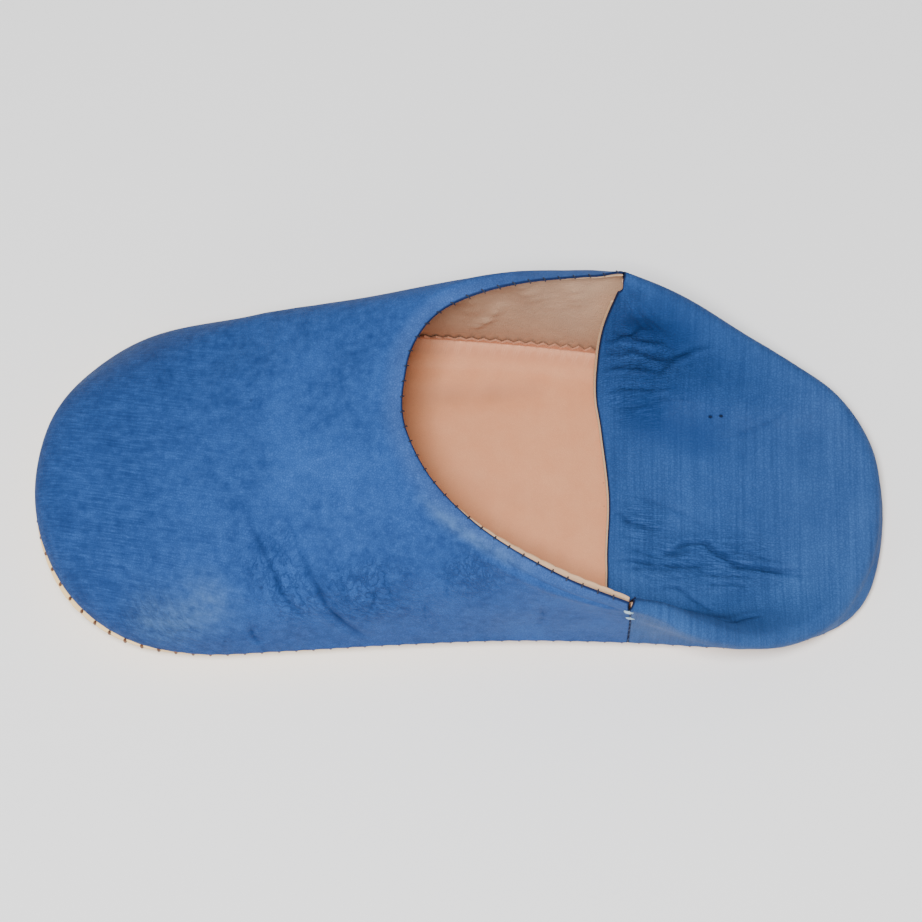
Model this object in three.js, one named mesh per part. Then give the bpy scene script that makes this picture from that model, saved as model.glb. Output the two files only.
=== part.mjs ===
// Babouche slipper for the right foot, in millimetres with +Z up. A vamp and a heel quarter of lined
// leather, the quarter folded down inside, are sewn edge to edge at the sides and along the turned-up edge
// of a soft leather sole. A thin insole lies in the sole. The toe points to -X, the inner side of the foot
// is at -Y, and forefoot and heel stand on Z = 0. Tables and functions measure "along" from the front of
// the toe.
import * as THREE from 'three';

// Driving dimensions
const SEAM_START = 1.2;    // the sole's seam begins here, because the toe hangs a little over the sole
const SEAM_END = 270;      // and ends here, at the heel
const MIDDLE = 135.5;      // half of the whole length
const OFF_CENTRE = 0.6;    // the middle of the whole width, from the foot's own middle line
const LEATHER = 1.8;       // upper leather with its lining
const SOLE = 3.5;          // sole leather
const INSOLE = 1.4;        // insole leather
const GAP = 0.4;           // between pieces that lie on each other or are sewn edge to edge
const RIM_OUT = 0.9;       // the sole's top edge reaches this far outside the seam line
const RIM_IN = 1.6;        // and this far inside it
const RIM_DROP = 0.6;      // the sole's top edge lies this far under the seam line
const SOLE_ROUND = 14;     // width of the sole's rounded lower edge
const DISH_ROUND = 10;     // width of the turned-up edge inside the sole
const MARGIN_INSET = 2.6;  // the insole's edge, inside the seam line
const MARGIN_RISE = 1;     // and above it
const INNER_SEAM = 188.5;  // side seams of the upper, at the inner and the outer side of the foot
const OUTER_SEAM = 186.5;

// How finely the pieces are divided
const OUTLINE_STEPS = 84;
const ROUND_STEPS = 5;
const VAMP_STEPS = { round: 56, stretches: [13] };
const QUARTER_STEPS = { round: 42, stretches: [6, 5, 9] };

// Seam line in plan: its inner and outer side, from the middle line
const OUTLINE = table('along inner outer', [
  [SEAM_START, -2, -2],
  [4.5, -21.5, 19.5],
  [14, -38, 36.6],
  [32, -50, 51.2],
  [52, -53.5, 56],
  [80, -52, 57.5],
  [115, -49.5, 57],
  [150, -47.5, 55],
  [190, -47, 51],
  [225, -47, 46],
  [250, -42, 39],
  [264, -30, 27.5],
  [SEAM_END, 0, 0],
]);

// Height of the seam line
const SEAM = table('along height', [
  [0, 20], [12, 16.4], [30, 13.2], [60, 11.6], [110, 12], [150, 12], [190, 10.5], [225, 7.6], [270, 6],
]);

// Height of the sole's underside: toe spring, flat forefoot, arch, flat heel and its lifted end
const UNDERSIDE = table('along height', [
  [0, 6], [50, 0], [80, 0], [152, 6], [224, 0], [256, 0], [270, 1],
]);

// Edge of the throat, from the inner side seam (round = -1) to the outer one (round = 1)
const THROAT = table('round along across height', [
  [-1, 188.5, -51.5, 62],
  [-0.72, 167, -44, 65],
  [-0.45, 141, -28.5, 70],
  [-0.22, 125, -10.5, 72.5],
  [0, 117.5, 12, 73],
  [0.18, 119.5, 28, 75],
  [0.36, 130, 40.3, 79.5],
  [0.6, 152, 50.7, 76],
  [0.8, 170, 54.5, 68],
  [1, 186.5, 56, 62.5],
]);

// Ribs of the vamp, from the sole's seam up to the throat: share of the way from toe to side seam at the
// foot, rise and inward lean of the first stretch, reach and drop of the last one
const RIBS = table('round share rise lean reach drop', [
  [-1, -1, 18, 1, 0.3, 18],
  [-0.6, -0.66, 17, 3, 0.42, 16],
  [-0.3, -0.36, 18, 1, 0.6, 23],
  [0, 0, 23, -3, 0.86, 41],
  [0.3, 0.36, 19, 5, 0.6, 28],
  [0.6, 0.66, 22, 8, 0.32, 24],
  [1, 1, 18, 3.5, 0, 18],
]);

// Folded ridge of the heel quarter, round the heel: its top, the fold's radius and its turn in degrees
const RIDGE = table('round along across height radius turn', [
  [-1, 190.4, -50, 63.2, 2.2, 155],
  [-0.8, 208, -54.2, 47.2, 2.2, 135],
  [-0.65, 225.2, -53, 32.4, 1.6, 125],
  [-0.5, 240.4, -46.6, 22.4, 2.3, 115],
  [-0.35, 252.9, -36.2, 17.4, 3.4, 108],
  [-0.18, 261.2, -19.5, 16, 4.4, 103],
  [0, 264.4, 0, 16, 4.6, 100],
  [0.18, 262.2, 18.2, 16, 4.4, 103],
  [0.35, 253.1, 33.3, 17.6, 3.5, 108],
  [0.5, 240.2, 41, 24, 2.4, 115],
  [0.65, 223.8, 46.7, 35, 2, 125],
  [0.8, 205.8, 51.6, 48.8, 2.2, 135],
  [1, 188.4, 53.8, 64, 2.2, 155],
]);

// Shape of the quarter's wall, from the sole's seam up to the fold
const WALL_LEAN = 0.02;       // inward lean at its foot, as a share of its height
const WALL_STRAIGHT = 0.33;   // share of its height that leaves foot and fold straight

// Free edge of the quarter's flap, which lies on the insole and climbs to the side seams at both ends
const FLAP = table('round along across', [
  [-1, 190.4, -46],
  [-0.88, 187, -43],
  [-0.74, 183, -37],
  [-0.45, 182, -22],
  [0, 182.5, 1],
  [0.45, 180, 24],
  [0.74, 178.5, 41],
  [0.88, 181.5, 47.5],
  [1, 187.8, 50.5],
]);
const FLAP_LEVEL = SOLE + INSOLE + 2 * GAP + LEATHER / 2;  // its middle, above the sole's underside
const FLAP_TOP = 60;          // its height at the side seams
const FLAP_LIFT = 0.6;        // how far round it leaves the insole
const FLAP_CLIMB = 1.5;       // how sharply it climbs from there
const FLAP_FALL = 0.45;       // share of its drop for which it keeps the fold's direction
const FLAP_SWEEP = 0.12;      // and of its length
const FLAP_FLAT = 0.5;        // share of its length that comes in level at the free edge

const UP = new THREE.Vector3(0, 0, 1);
const SMALL = 1e-3;

function table(names, rows) {
  return Object.fromEntries(names.split(' ').map((name, k) => [name, rows.map((row) => row[k])]));
}

// Number of the table interval that holds x
function interval(xs, x) {
  const next = xs.findIndex((value) => value > x);
  return next < 0 ? xs.length - 2 : Math.max(next - 1, 0);
}

// Smooth curve through the points, with each slope weighed from the chords on both sides
function curve(xs, ys) {
  const last = xs.length - 1;
  const step = xs.slice(1).map((x, i) => x - xs[i]);
  const chord = step.map((length, i) => (ys[i + 1] - ys[i]) / length);
  const slope = xs.map((x, i) => (i === 0 || i === last ? 0
    : (chord[i - 1] * step[i] + chord[i] * step[i - 1]) / (step[i - 1] + step[i])));
  slope[0] = 1.5 * chord[0] - 0.5 * slope[1];
  slope[last] = 1.5 * chord[last - 1] - 0.5 * slope[last - 1];
  return (x) => {
    const i = interval(xs, x);
    const f = (x - xs[i]) / step[i];
    const bend = (1 - f) * slope[i] - f * slope[i + 1];
    return ys[i] + (ys[i + 1] - ys[i]) * f * f * (3 - 2 * f) + bend * step[i] * f * (1 - f);
  };
}

// Curve that is level at every point of its table
function terraces(xs, ys) {
  return (x) => {
    const i = interval(xs, x);
    return THREE.MathUtils.lerp(ys[i], ys[i + 1], THREE.MathUtils.smoothstep(x, xs[i], xs[i + 1]));
  };
}

// One smooth curve for each column of a table, over its first column
function curves(columns) {
  const [first, ...others] = Object.keys(columns);
  return Object.fromEntries(others.map((name) => [name, curve(columns[first], columns[name])]));
}

const seamHeight = curve(SEAM.along, SEAM.height);
const underside = terraces(UNDERSIDE.along, UNDERSIDE.height);
const throat = curves(THROAT);
const rib = curves(RIBS);
const ridge = curves(RIDGE);
const flapEdge = curves(FLAP);

// The seam line runs round the foot by an angle: 0 at the toe, pi at the heel, negative on the inner side
const HALF_SEAM = (SEAM_END - SEAM_START) / 2;

function angleAt(along) {
  return Math.acos(THREE.MathUtils.clamp(1 - (along - SEAM_START) / HALF_SEAM, -1, 1));
}

// Distance of the seam line from the middle line by angle, with the rows next to the heel repeated past it
function outlineCurve() {
  const angles = OUTLINE.along.map(angleAt);
  const inner = angles.map((angle, i) => [-angle, OUTLINE.inner[i]]).reverse();
  const outer = angles.map((angle, i) => [angle, OUTLINE.outer[i]]).slice(1);
  const round = [...inner, ...outer];
  const turned = (points, turn) => points.map(([angle, across]) => [angle + turn, across]);
  const wrapped = [
    ...turned(round.slice(-4, -1), -2 * Math.PI), ...round, ...turned(round.slice(1, 4), 2 * Math.PI),
  ];
  return curve(wrapped.map((point) => point[0]), wrapped.map((point) => point[1]));
}

const seamAcross = outlineCurve();

function seamPoint(angle) {
  const along = SEAM_START + HALF_SEAM * (1 - Math.cos(angle));
  return new THREE.Vector3(along, seamAcross(angle), seamHeight(along));
}

// Unit vector in plan that points from the seam line into the foot
function inward(angle) {
  const way = seamPoint(angle + SMALL).sub(seamPoint(angle - SMALL));
  return new THREE.Vector3(way.y, -way.x, 0).normalize();
}

function pointOn(curveSet, t) {
  return new THREE.Vector3(curveSet.along(t), curveSet.across(t), curveSet.height(t));
}

// Middle surface of the vamp: t from the inner side seam round the toe to the outer, s from sole to throat
function vampSurface(t, s) {
  const share = rib.share(t);
  const angle = share * angleAt(share < 0 ? INNER_SEAM : OUTER_SEAM);
  const foot = seamPoint(angle);
  const top = pointOn(throat, t);
  const leave = foot.clone().addScaledVector(UP, rib.rise(t)).addScaledVector(inward(angle), rib.lean(t));
  const arrive = top.clone().lerp(foot, rib.reach(t)).setZ(top.z - rib.drop(t));
  return new THREE.CubicBezierCurve3(foot, leave, arrive, top).getPoint(s);
}

// Angle of the seam line at the quarter's foot, for t from the inner side seam round the heel to the outer
function heelAngle(t) {
  const sideSeam = (t < 0 ? INNER_SEAM : OUTER_SEAM) + GAP;
  const angle = Math.PI - Math.abs(t) * (Math.PI - angleAt(sideSeam));
  return t < 0 ? -angle : angle;
}

function flapEdgePoint(t) {
  const along = flapEdge.along(t);
  const climb = Math.max((Math.abs(t) - FLAP_LIFT) / (1 - FLAP_LIFT), 0) ** FLAP_CLIMB;
  return new THREE.Vector3(along, flapEdge.across(t),
    THREE.MathUtils.lerp(underside(along) + FLAP_LEVEL, FLAP_TOP, climb));
}

// Middle surface of the heel quarter: s from 0 to 1 up the wall, to 2 round the fold, to 3 down the flap
function quarterSurface(t, s) {
  const radius = ridge.radius(t);
  const turn = THREE.MathUtils.degToRad(ridge.turn(t));
  const way = pointOn(ridge, t + SMALL).sub(pointOn(ridge, t - SMALL));
  const out = new THREE.Vector3(way.y, -way.x, 0).normalize();
  const centre = pointOn(ridge, t).addScaledVector(UP, -radius);
  const onFold = (angle) => centre.clone()
    .addScaledVector(out, radius * Math.cos(angle)).addScaledVector(UP, radius * Math.sin(angle));
  if (s <= 1) {
    const angle = heelAngle(t);
    const foot = seamPoint(angle);
    const top = onFold(0);
    const height = top.z - foot.z;
    const straight = height * WALL_STRAIGHT;
    const leave = foot.clone().addScaledVector(UP, straight)
      .addScaledVector(inward(angle), height * WALL_LEAN);
    const arrive = top.clone().addScaledVector(UP, -straight);
    return new THREE.CubicBezierCurve3(foot, leave, arrive, top).getPoint(s);
  }
  if (s <= 2) return onFold((s - 1) * turn);
  const start = onFold(turn);
  const end = flapEdgePoint(t);
  const length = Math.hypot(end.x - start.x, end.y - start.y);
  const fall = FLAP_FALL * (start.z - end.z) + FLAP_SWEEP * length;
  const leave = start.clone()
    .addScaledVector(out, -fall * Math.sin(turn)).addScaledVector(UP, fall * Math.cos(turn));
  const arrive = end.clone().lerp(start, FLAP_FLAT).setZ(end.z);
  return new THREE.CubicBezierCurve3(start, leave, arrive, end).getPoint(s - 2);
}

// Quads between two rows of vertices, facing where (along the row) x (from lower to upper) points
function strip(index, lower, upper) {
  for (let i = 0; i + 1 < lower.length; i++) {
    const corners = [lower[i], lower[i + 1], upper[i + 1], upper[i]];
    for (const [a, b, c] of [[0, 1, 3], [1, 2, 3]]) {
      const triangle = [corners[a], corners[b], corners[c]];
      if (new Set(triangle).size === 3) index.push(...triangle);
    }
  }
}

function solid(points, index) {
  const geometry = new THREE.BufferGeometry().setFromPoints(points).setIndex(index);
  geometry.computeVertexNormals();
  return geometry;
}

// Unit normal of a surface, from its slopes along s and t
function surfaceNormal(surface, t, s, endOfS) {
  const [s0, s1] = [Math.max(s - SMALL, 0), Math.min(s + SMALL, endOfS)];
  const alongS = surface(t, s1).sub(surface(t, s0));
  const alongT = surface(Math.min(t + SMALL, 1), s).sub(surface(Math.max(t - SMALL, -1), s));
  return alongS.cross(alongT).normalize();
}

// Closed wall of even thickness around a middle surface over t from -1 to 1 and stretches of s
function sheet(surface, steps, thickness) {
  const parts = (count, k) => Array.from({ length: count }, (_, i) => k + i / count);
  const rows = [...steps.stretches.flatMap(parts), steps.stretches.length];
  const points = [];
  const column = { front: [], back: [] };
  for (const [side, offset] of [['front', thickness / 2], ['back', -thickness / 2]]) {
    for (let i = 0; i <= steps.round; i++) {
      const t = -1 + 2 * i / steps.round;
      column[side].push(rows.map((s) => {
        const normal = surfaceNormal(surface, t, s, steps.stretches.length);
        return points.push(surface(t, s).addScaledVector(normal, offset)) - 1;
      }));
    }
  }
  const { front, back } = column;
  const edgeRow = (columns, k) => columns.map((vertices) => vertices.at(k));
  const index = [];
  for (let i = 0; i < steps.round; i++) {
    strip(index, front[i], front[i + 1]);
    strip(index, back[i + 1], back[i]);
  }
  strip(index, edgeRow(front, 0), edgeRow(back, 0));
  strip(index, edgeRow(back, -1), edgeRow(front, -1));
  strip(index, back[0], front[0]);
  strip(index, front.at(-1), back.at(-1));
  return solid(points, index);
}

// Point on a turned-up edge: a quarter ellipse from the rim (turn = 0) down and in to the level (turn = 1)
function turnedEdge(face, angle, turn) {
  const seam = seamPoint(angle);
  const swing = turn * Math.PI / 2;
  const point = seam.clone()
    .addScaledVector(inward(angle), face.inset + face.width * (1 - Math.cos(swing)));
  const level = underside(point.x) + face.level;
  return point.setZ(THREE.MathUtils.lerp(seam.z + face.rim, level, Math.sin(swing)));
}

// Closed plate with a turned-up edge all round, between a lower and an upper face
function plate(lower, upper) {
  const points = [];
  const turns = Array.from({ length: ROUND_STEPS + 1 }, (_, k) => k / ROUND_STEPS);
  const ring = (face, turn) => {
    const vertices = Array.from({ length: OUTLINE_STEPS }, (_, i) => {
      const angle = -Math.PI + 2 * Math.PI * i / OUTLINE_STEPS;
      return points.push(turnedEdge(face, angle, turn)) - 1;
    });
    return [...vertices, vertices[0]];
  };
  const rings = [
    ...turns.toReversed().map((turn) => ring(lower, turn)),
    ...turns.map((turn) => ring(upper, turn)),
  ];
  const index = [];
  for (let k = 0; k + 1 < rings.length; k++) strip(index, rings[k + 1], rings[k]);
  const toToe = (vertices) => vertices.slice(0, OUTLINE_STEPS / 2 + 1);
  strip(index, toToe(rings[0]), toToe(rings[0].toReversed()));
  strip(index, toToe(rings.at(-1).toReversed()), toToe(rings.at(-1)));
  return solid(points, index);
}

function soleGeometry() {
  const lower = { inset: -RIM_OUT, width: SOLE_ROUND, rim: -RIM_DROP, level: 0 };
  const upper = { inset: RIM_IN, width: DISH_ROUND, rim: -RIM_DROP, level: SOLE };
  return plate(lower, upper);
}

function insoleGeometry() {
  const width = RIM_IN + DISH_ROUND - MARGIN_INSET;
  const lower = { inset: MARGIN_INSET, width, rim: MARGIN_RISE, level: SOLE + GAP };
  const upper = {
    inset: MARGIN_INSET + INSOLE, width: width - INSOLE, rim: MARGIN_RISE, level: SOLE + GAP + INSOLE,
  };
  return plate(lower, upper);
}

function piece(name, geometry, color, roughness) {
  const material = new THREE.MeshStandardMaterial({ color, roughness, metalness: 0 });
  const mesh = new THREE.Mesh(geometry, material);
  mesh.name = name;
  return mesh;
}

const slipper = new THREE.Group();
slipper.name = 'babouche_slipper';
slipper.position.set(-MIDDLE, -OFF_CENTRE, 0);
slipper.add(
  piece('sole', soleGeometry(), 0xe0c8a6, 0.6),
  piece('insole', insoleGeometry(), 0xd6a68a, 0.75),
  piece('vamp', sheet(vampSurface, VAMP_STEPS, LEATHER), 0x3c72b6, 0.5),
  piece('heel_quarter', sheet(quarterSurface, QUARTER_STEPS, LEATHER), 0x34659f, 0.55),
);

export default slipper;
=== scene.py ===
import bpy
import numpy as np
from mathutils import Matrix, Vector


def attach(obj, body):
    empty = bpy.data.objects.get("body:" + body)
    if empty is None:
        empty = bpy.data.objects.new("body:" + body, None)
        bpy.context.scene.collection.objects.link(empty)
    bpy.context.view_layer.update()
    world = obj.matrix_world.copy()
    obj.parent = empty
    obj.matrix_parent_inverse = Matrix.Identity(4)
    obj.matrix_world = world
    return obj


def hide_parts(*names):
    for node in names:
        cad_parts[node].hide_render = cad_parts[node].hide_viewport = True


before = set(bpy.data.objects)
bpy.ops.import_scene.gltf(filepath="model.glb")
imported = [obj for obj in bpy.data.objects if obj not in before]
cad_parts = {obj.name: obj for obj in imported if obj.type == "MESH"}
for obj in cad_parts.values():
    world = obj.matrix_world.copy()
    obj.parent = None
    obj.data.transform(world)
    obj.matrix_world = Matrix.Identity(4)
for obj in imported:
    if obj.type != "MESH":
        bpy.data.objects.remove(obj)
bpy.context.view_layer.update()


# Sole
# One piece of cream sole leather, wetted and turned up all round into a shallow dish. Its rim is sewn to the
# upper. Toe and arch stand clear of the floor, ball and heel lie flat on it.

MIDDLE, OFF_CENTRE = 135.5, 0.6        # the row frame's origin, from the front of the toe and the middle line
SEAM_START, SEAM_END = 1.2, 270        # ends of the seam line between sole and upper
SOLE = 3.5
RIM_IN, RIM_DROP = 1.6, 0.6
SOLE_ROUND, DISH_ROUND = 14, 10
RIM_CROWN = 0.3
SOLE_STITCH = 5.4                      # spacing of the stitches along the seam
STITCH_DENT = 0.35
DENT_BELOW, DENT_HALF = 1.1, 0.9       # the dents' middle under the rim, and half their height
SIDE_STEPS, ACROSS_STEPS = 400, 26
EDGE_STEPS, RIM_STEPS = 14, 4
SEAM_SAMPLES, TINY = 4001, 1e-3


def table(names, rows):
    """Columns of a short table, by name."""
    return dict(zip(names.split(), np.array(rows, float).T))


OUTLINE = table("along inner outer", [
    (SEAM_START, -2, -2), (4.5, -21.5, 19.5), (14, -38, 36.6), (32, -50, 51.2), (52, -53.5, 56),
    (80, -52, 57.5), (115, -49.5, 57), (150, -47.5, 55), (190, -47, 51), (225, -47, 46),
    (250, -42, 39), (264, -30, 27.5), (SEAM_END, 0, 0),
])
SEAM = table("along height", [
    (0, 20), (12, 16.4), (30, 13.2), (60, 11.6), (110, 12), (150, 12), (190, 10.5), (225, 7.6), (270, 6),
])
UNDERSIDE = table("along height", [(0, 6), (50, 0), (80, 0), (152, 6), (224, 0), (256, 0), (270, 1)])


def smooth(xs, ys, x):
    """Curve through the points: cubics whose slopes are weighed from the chords on both sides."""
    step = np.diff(xs)
    chord = np.diff(ys) / step
    slope = np.empty(len(xs))
    slope[1:-1] = (chord[:-1] * step[1:] + chord[1:] * step[:-1]) / (step[1:] + step[:-1])
    slope[0] = 1.5 * chord[0] - 0.5 * slope[1]
    slope[-1] = 1.5 * chord[-1] - 0.5 * slope[-2]
    i = np.clip(np.searchsorted(xs, x, "right") - 1, 0, len(step) - 1)
    f = (x - xs[i]) / step[i]
    bend = (1 - f) * slope[i] - f * slope[i + 1]
    return ys[i] + (ys[i + 1] - ys[i]) * f * f * (3 - 2 * f) + bend * step[i] * f * (1 - f)


def ease(x):
    """Smooth step from 0 to 1."""
    x = np.clip(x, 0, 1)
    return x * x * (3 - 2 * x)


def underside(along):
    """Height of the sole's underside: level at every row of its table, with smooth steps between."""
    xs, ys = UNDERSIDE["along"], UNDERSIDE["height"]
    i = np.clip(np.searchsorted(xs, along, "right") - 1, 0, len(xs) - 2)
    return ys[i] + (ys[i + 1] - ys[i]) * ease((along - xs[i]) / (xs[i + 1] - xs[i]))


HALF_SEAM = (SEAM_END - SEAM_START) / 2


def angle_at(along):
    """Angle of the seam line at a distance from the toe: 0 at the toe, pi at the heel."""
    return np.arccos(np.clip(1 - (np.asarray(along, float) - SEAM_START) / HALF_SEAM, -1, 1))


def wrapped_outline():
    """Angles and distances from the middle line all round, with three rows repeated past the heel."""
    angle = angle_at(OUTLINE["along"])
    angle = np.r_[-angle[::-1], angle[1:]]
    across = np.r_[OUTLINE["inner"][::-1], OUTLINE["outer"][1:]]
    turn = 2 * np.pi
    return (np.r_[angle[-4:-1] - turn, angle, angle[1:4] + turn], np.r_[across[-4:-1], across, across[1:4]])


WRAPPED_ANGLE, WRAPPED_ACROSS = wrapped_outline()
UP = np.array([0, 0, 1.0])


def seam_line(angle):
    """Seam line by angle: along = half its length times (1 - cosine), across and height from the tables."""
    along = SEAM_START + HALF_SEAM * (1 - np.cos(angle))
    across = smooth(WRAPPED_ANGLE, WRAPPED_ACROSS, angle)
    return np.stack([along, across, smooth(SEAM["along"], SEAM["height"], along)], -1)


def unit(vectors):
    """Vectors scaled to length 1."""
    return vectors / np.maximum(np.linalg.norm(vectors, axis=-1, keepdims=True), 1e-9)


def inward(angle):
    """Unit vector in plan that points from the seam line into the foot."""
    way = seam_line(angle + TINY) - seam_line(angle - TINY)
    return unit(np.stack([way[..., 1], -way[..., 0], 0 * way[..., 0]], -1))


def lengths(points, axis=0):
    """Length run so far along an axis of a line or grid of points."""
    run = np.linalg.norm(np.diff(points, axis=axis), axis=-1)
    start = np.zeros_like(np.take(run, [0], axis))
    return np.concatenate([start, np.cumsum(run, axis)], axis)


def even_angles(side, count):
    """Angles evenly spaced along the seam line from toe to heel, on the inner side (-1) or the outer one
    (1)."""
    fine = side * np.linspace(0, np.pi, SEAM_SAMPLES)
    run = lengths(seam_line(fine))
    return np.interp(np.linspace(0, run[-1], count + 1), run, fine), run[-1]


RIM = table("angle out", [
    (-np.pi, 0.1), (-2.2, 0.1), (-1.2, 0.1), (-0.85, 0.3), (-0.62, 1.2), (-0.4, 1.9), (-0.15, 1.5),
    (0.2, 0.9), (1, 0.9), (2.4, 0.5), (np.pi, 0.1),
])


def rim_out(angle):
    """How far the rim stands outside the seam line: most round the toe's inner side, least along the inner
    side."""
    return smooth(RIM["angle"], RIM["out"], angle)


def turned_edge(angle, swing, inset, width, rim, level):
    """Quarter ellipse from the rim (swing 0) down and in to the level part (swing pi/2)."""
    seam = seam_line(angle)
    point = seam + inward(angle) * (inset + width * (1 - np.cos(swing)))[..., None]
    low = underside(point[..., 0]) + level
    point[..., 2] = seam[..., 2] + rim + (low - seam[..., 2] - rim) * np.sin(swing)
    return point


def across_from(inner, outer, level, count):
    """Level part of a dished plate: straight lines across from inner to outer edge, at a height over the
    sole."""
    share = np.linspace(0, 1, count + 1)[None, :, None]
    points = inner[:, None] * (1 - share) + outer[:, None] * share
    points[:, 1:-1, 2] = underside(points[:, 1:-1, 0]) + level
    return points


MILLIMETRE = 0.001
WELD_DIGITS = 4                        # points alike to this many digits of a millimetre are one
SHARP_FROM = np.radians(60)


def make_piece(name, grids, marks=None):
    """Piece from grids of points in millimetres whose last two axes are rows and columns, facing along rows x
    columns. Points that grids share are welded, and quads with two like corners become triangles. Marks are
    values for every point of every grid, kept as attributes."""
    corners, start = [], 0
    for grid in grids:
        number = start + np.arange(grid[..., 0].size).reshape(grid.shape[:-1])
        quad = (number[..., :-1, :-1], number[..., 1:, :-1], number[..., 1:, 1:], number[..., :-1, 1:])
        corners.append(np.stack(quad, -1).reshape(-1, 4))
        start += number.size
    points = np.concatenate([grid.reshape(-1, 3) for grid in grids])
    _, first, same = np.unique(np.round(points, WELD_DIGITS), axis=0, return_index=True, return_inverse=True)
    quads = same.reshape(-1)[np.concatenate(corners)]
    doubled = quads == np.roll(quads, -1, axis=1)
    faces = quads[~doubled.any(1)].tolist()
    for k in range(4):
        faces += np.delete(quads[doubled[:, k] & (doubled.sum(1) == 1)], k, axis=1).tolist()
    mesh = bpy.data.meshes.new(name)
    mesh.from_pydata(((points[first] - (MIDDLE, OFF_CENTRE, 0)) * MILLIMETRE).tolist(), [], faces)
    for key, values in (marks or {}).items():
        value = np.concatenate([np.asarray(v, float).ravel() for v in values])[first]
        mesh.attributes.new(key, "FLOAT", "POINT").data.foreach_set("value", value.astype(np.float32))
    mesh.polygons.foreach_set("use_smooth", np.ones(len(mesh.polygons), bool))
    mesh.set_sharp_from_angle(angle=SHARP_FROM)
    piece = bpy.data.objects.new(name, mesh)
    bpy.context.scene.collection.objects.link(piece)
    return piece


def flowing(places, count=40):
    """Smooth curve through a few given points."""
    places = np.array(places, float)
    number = np.arange(len(places), dtype=float)
    if len(places) == 2:
        return places[:1] + np.linspace(0, 1, count)[:, None] * (places[1] - places[0])
    at = np.linspace(0, len(places) - 1, count)
    return np.stack([smooth(number, column, at) for column in places.T], -1)


def nearness(points, path):
    """Distance of each point from a path, and the share of the path's length at the nearest place."""
    run = lengths(path)
    distance = np.full(points.shape[:-1], np.inf)
    share = np.zeros(points.shape[:-1])
    for a, b, before, after in zip(path[:-1], path[1:], run[:-1], run[1:]):
        f = np.clip((points - a) @ (b - a) / (after - before) ** 2, 0, 1)
        d = np.linalg.norm(points - a - f[..., None] * (b - a), axis=-1)
        nearer = d < distance
        distance = np.where(nearer, d, distance)
        share = np.where(nearer, (before + f * (after - before)) / run[-1], share)
    return distance, share


LINE_WIDTH = 0.55                      # the fine line in the middle of a crease
SHOULDER, SHOULDER_AT, SHOULDER_WIDTH = 0.35, 1.9, 0.9   # beside a crease, as shares of its depth and width
CREASE_FADE, CREASE_SWAY, CREASE_BEATS = 0.25, 0.2, 23   # how it fades at the ends and varies on the way


def creases(points, rows):
    """Soft troughs along paths: each a bell-shaped dip with low shoulders, deepened to a fine line in the
    middle and fading out at both ends."""
    depth = np.zeros(points.shape[:-1])
    for width, dip, line, path in rows:
        distance, share = nearness(points, path)
        x = distance / width
        fade = ease(share / CREASE_FADE) * ease((1 - share) / CREASE_FADE)
        fade = fade * (1 - CREASE_SWAY + CREASE_SWAY * np.sin(CREASE_BEATS * share))
        trough = dip * (np.exp(-x * x) - SHOULDER * np.exp(-((x - SHOULDER_AT) / SHOULDER_WIDTH) ** 2))
        depth += fade * (trough + line * np.exp(-(distance / LINE_WIDTH) ** 2))
    return depth


SOLE_CREASES = [   # width, depth and places (along, across, height) of faint creases on its edge
    (1.6, 0.3, [(60, -56, 10), (66, -52, 4), (72, -47, 1)]),
    (1.4, 0.25, [(84, -55, 10), (88, -51, 4), (93, -47, 1)]),
    (2.0, 0.3, [(30, -52, 11), (36, -47, 5), (44, -42, 2)]),
    (1.8, 0.25, [(205, -49, 8), (210, -45, 4), (216, -41, 1)]),
    (1.6, 0.3, [(62, 58, 10), (68, 54, 4), (76, 50, 1)]),
    (1.5, 0.25, [(96, 60, 10), (100, 56, 4), (106, 52, 2)]),
    (2.0, 0.3, [(28, 52, 11), (34, 48, 5), (42, 44, 2)]),
    (1.6, 0.25, [(212, 50, 8), (216, 46, 4), (221, 42, 1)]),
]


def sole_grids():
    """Both sides of the dish from its level underside up, over the crowned rim and down into the dish, and
    the two level faces. Each stitch presses a dent into the outside just under the rim."""
    swing_down = np.linspace(np.pi / 2, 0, EDGE_STEPS + 1)
    swing_in = np.linspace(0, np.pi / 2, EDGE_STEPS + 1)
    grids, edges, dents = [], {}, []
    for side in (-1, 1):
        angle, run = even_angles(side, SIDE_STEPS)
        stitches = np.round(run / SOLE_STITCH)
        beat = np.cos(np.pi * np.linspace(0, stitches, SIDE_STEPS + 1)) ** 2
        outset = rim_out(angle)[:, None]
        low = turned_edge(angle[:, None], swing_down[None], -outset, SOLE_ROUND, -RIM_DROP, 0)
        high = turned_edge(angle[:, None], swing_in[None], RIM_IN, DISH_ROUND, -RIM_DROP, SOLE)
        under_rim = np.exp(-((low[..., 2] - low[:, -1:, 2] + DENT_BELOW) / DENT_HALF) ** 2)
        dent = beat[:, None] ** 4 * under_rim
        crease = creases(low, [(w, d, 0, flowing(p)) for w, d, p in SOLE_CREASES])
        low = low + inward(angle)[:, None] * (STITCH_DENT * dent + crease)[..., None]
        share = np.linspace(0, 1, RIM_STEPS + 1)[1:-1]
        rim = low[:, -1:] + (high[:, :1] - low[:, -1:]) * share[None, :, None]
        rim = rim + UP * (RIM_CROWN * np.sin(np.pi * share))[None, :, None]
        grid = np.concatenate([low, rim, high], 1)
        dented = np.zeros(grid.shape[:-1])
        dented[:, :low.shape[1]] = dent
        grids.append(grid if side < 0 else grid[:, ::-1])
        dents.append(dented if side < 0 else dented[:, ::-1])
        edges[side] = (grid[:, 0], grid[:, -1])
    bottom = across_from(edges[-1][0], edges[1][0], 0, ACROSS_STEPS)
    top = across_from(edges[-1][1], edges[1][1], SOLE, ACROSS_STEPS)
    return [*grids, bottom[:, ::-1], top], [*dents, np.zeros(bottom.shape[:-1]), np.zeros(top.shape[:-1])]


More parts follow.
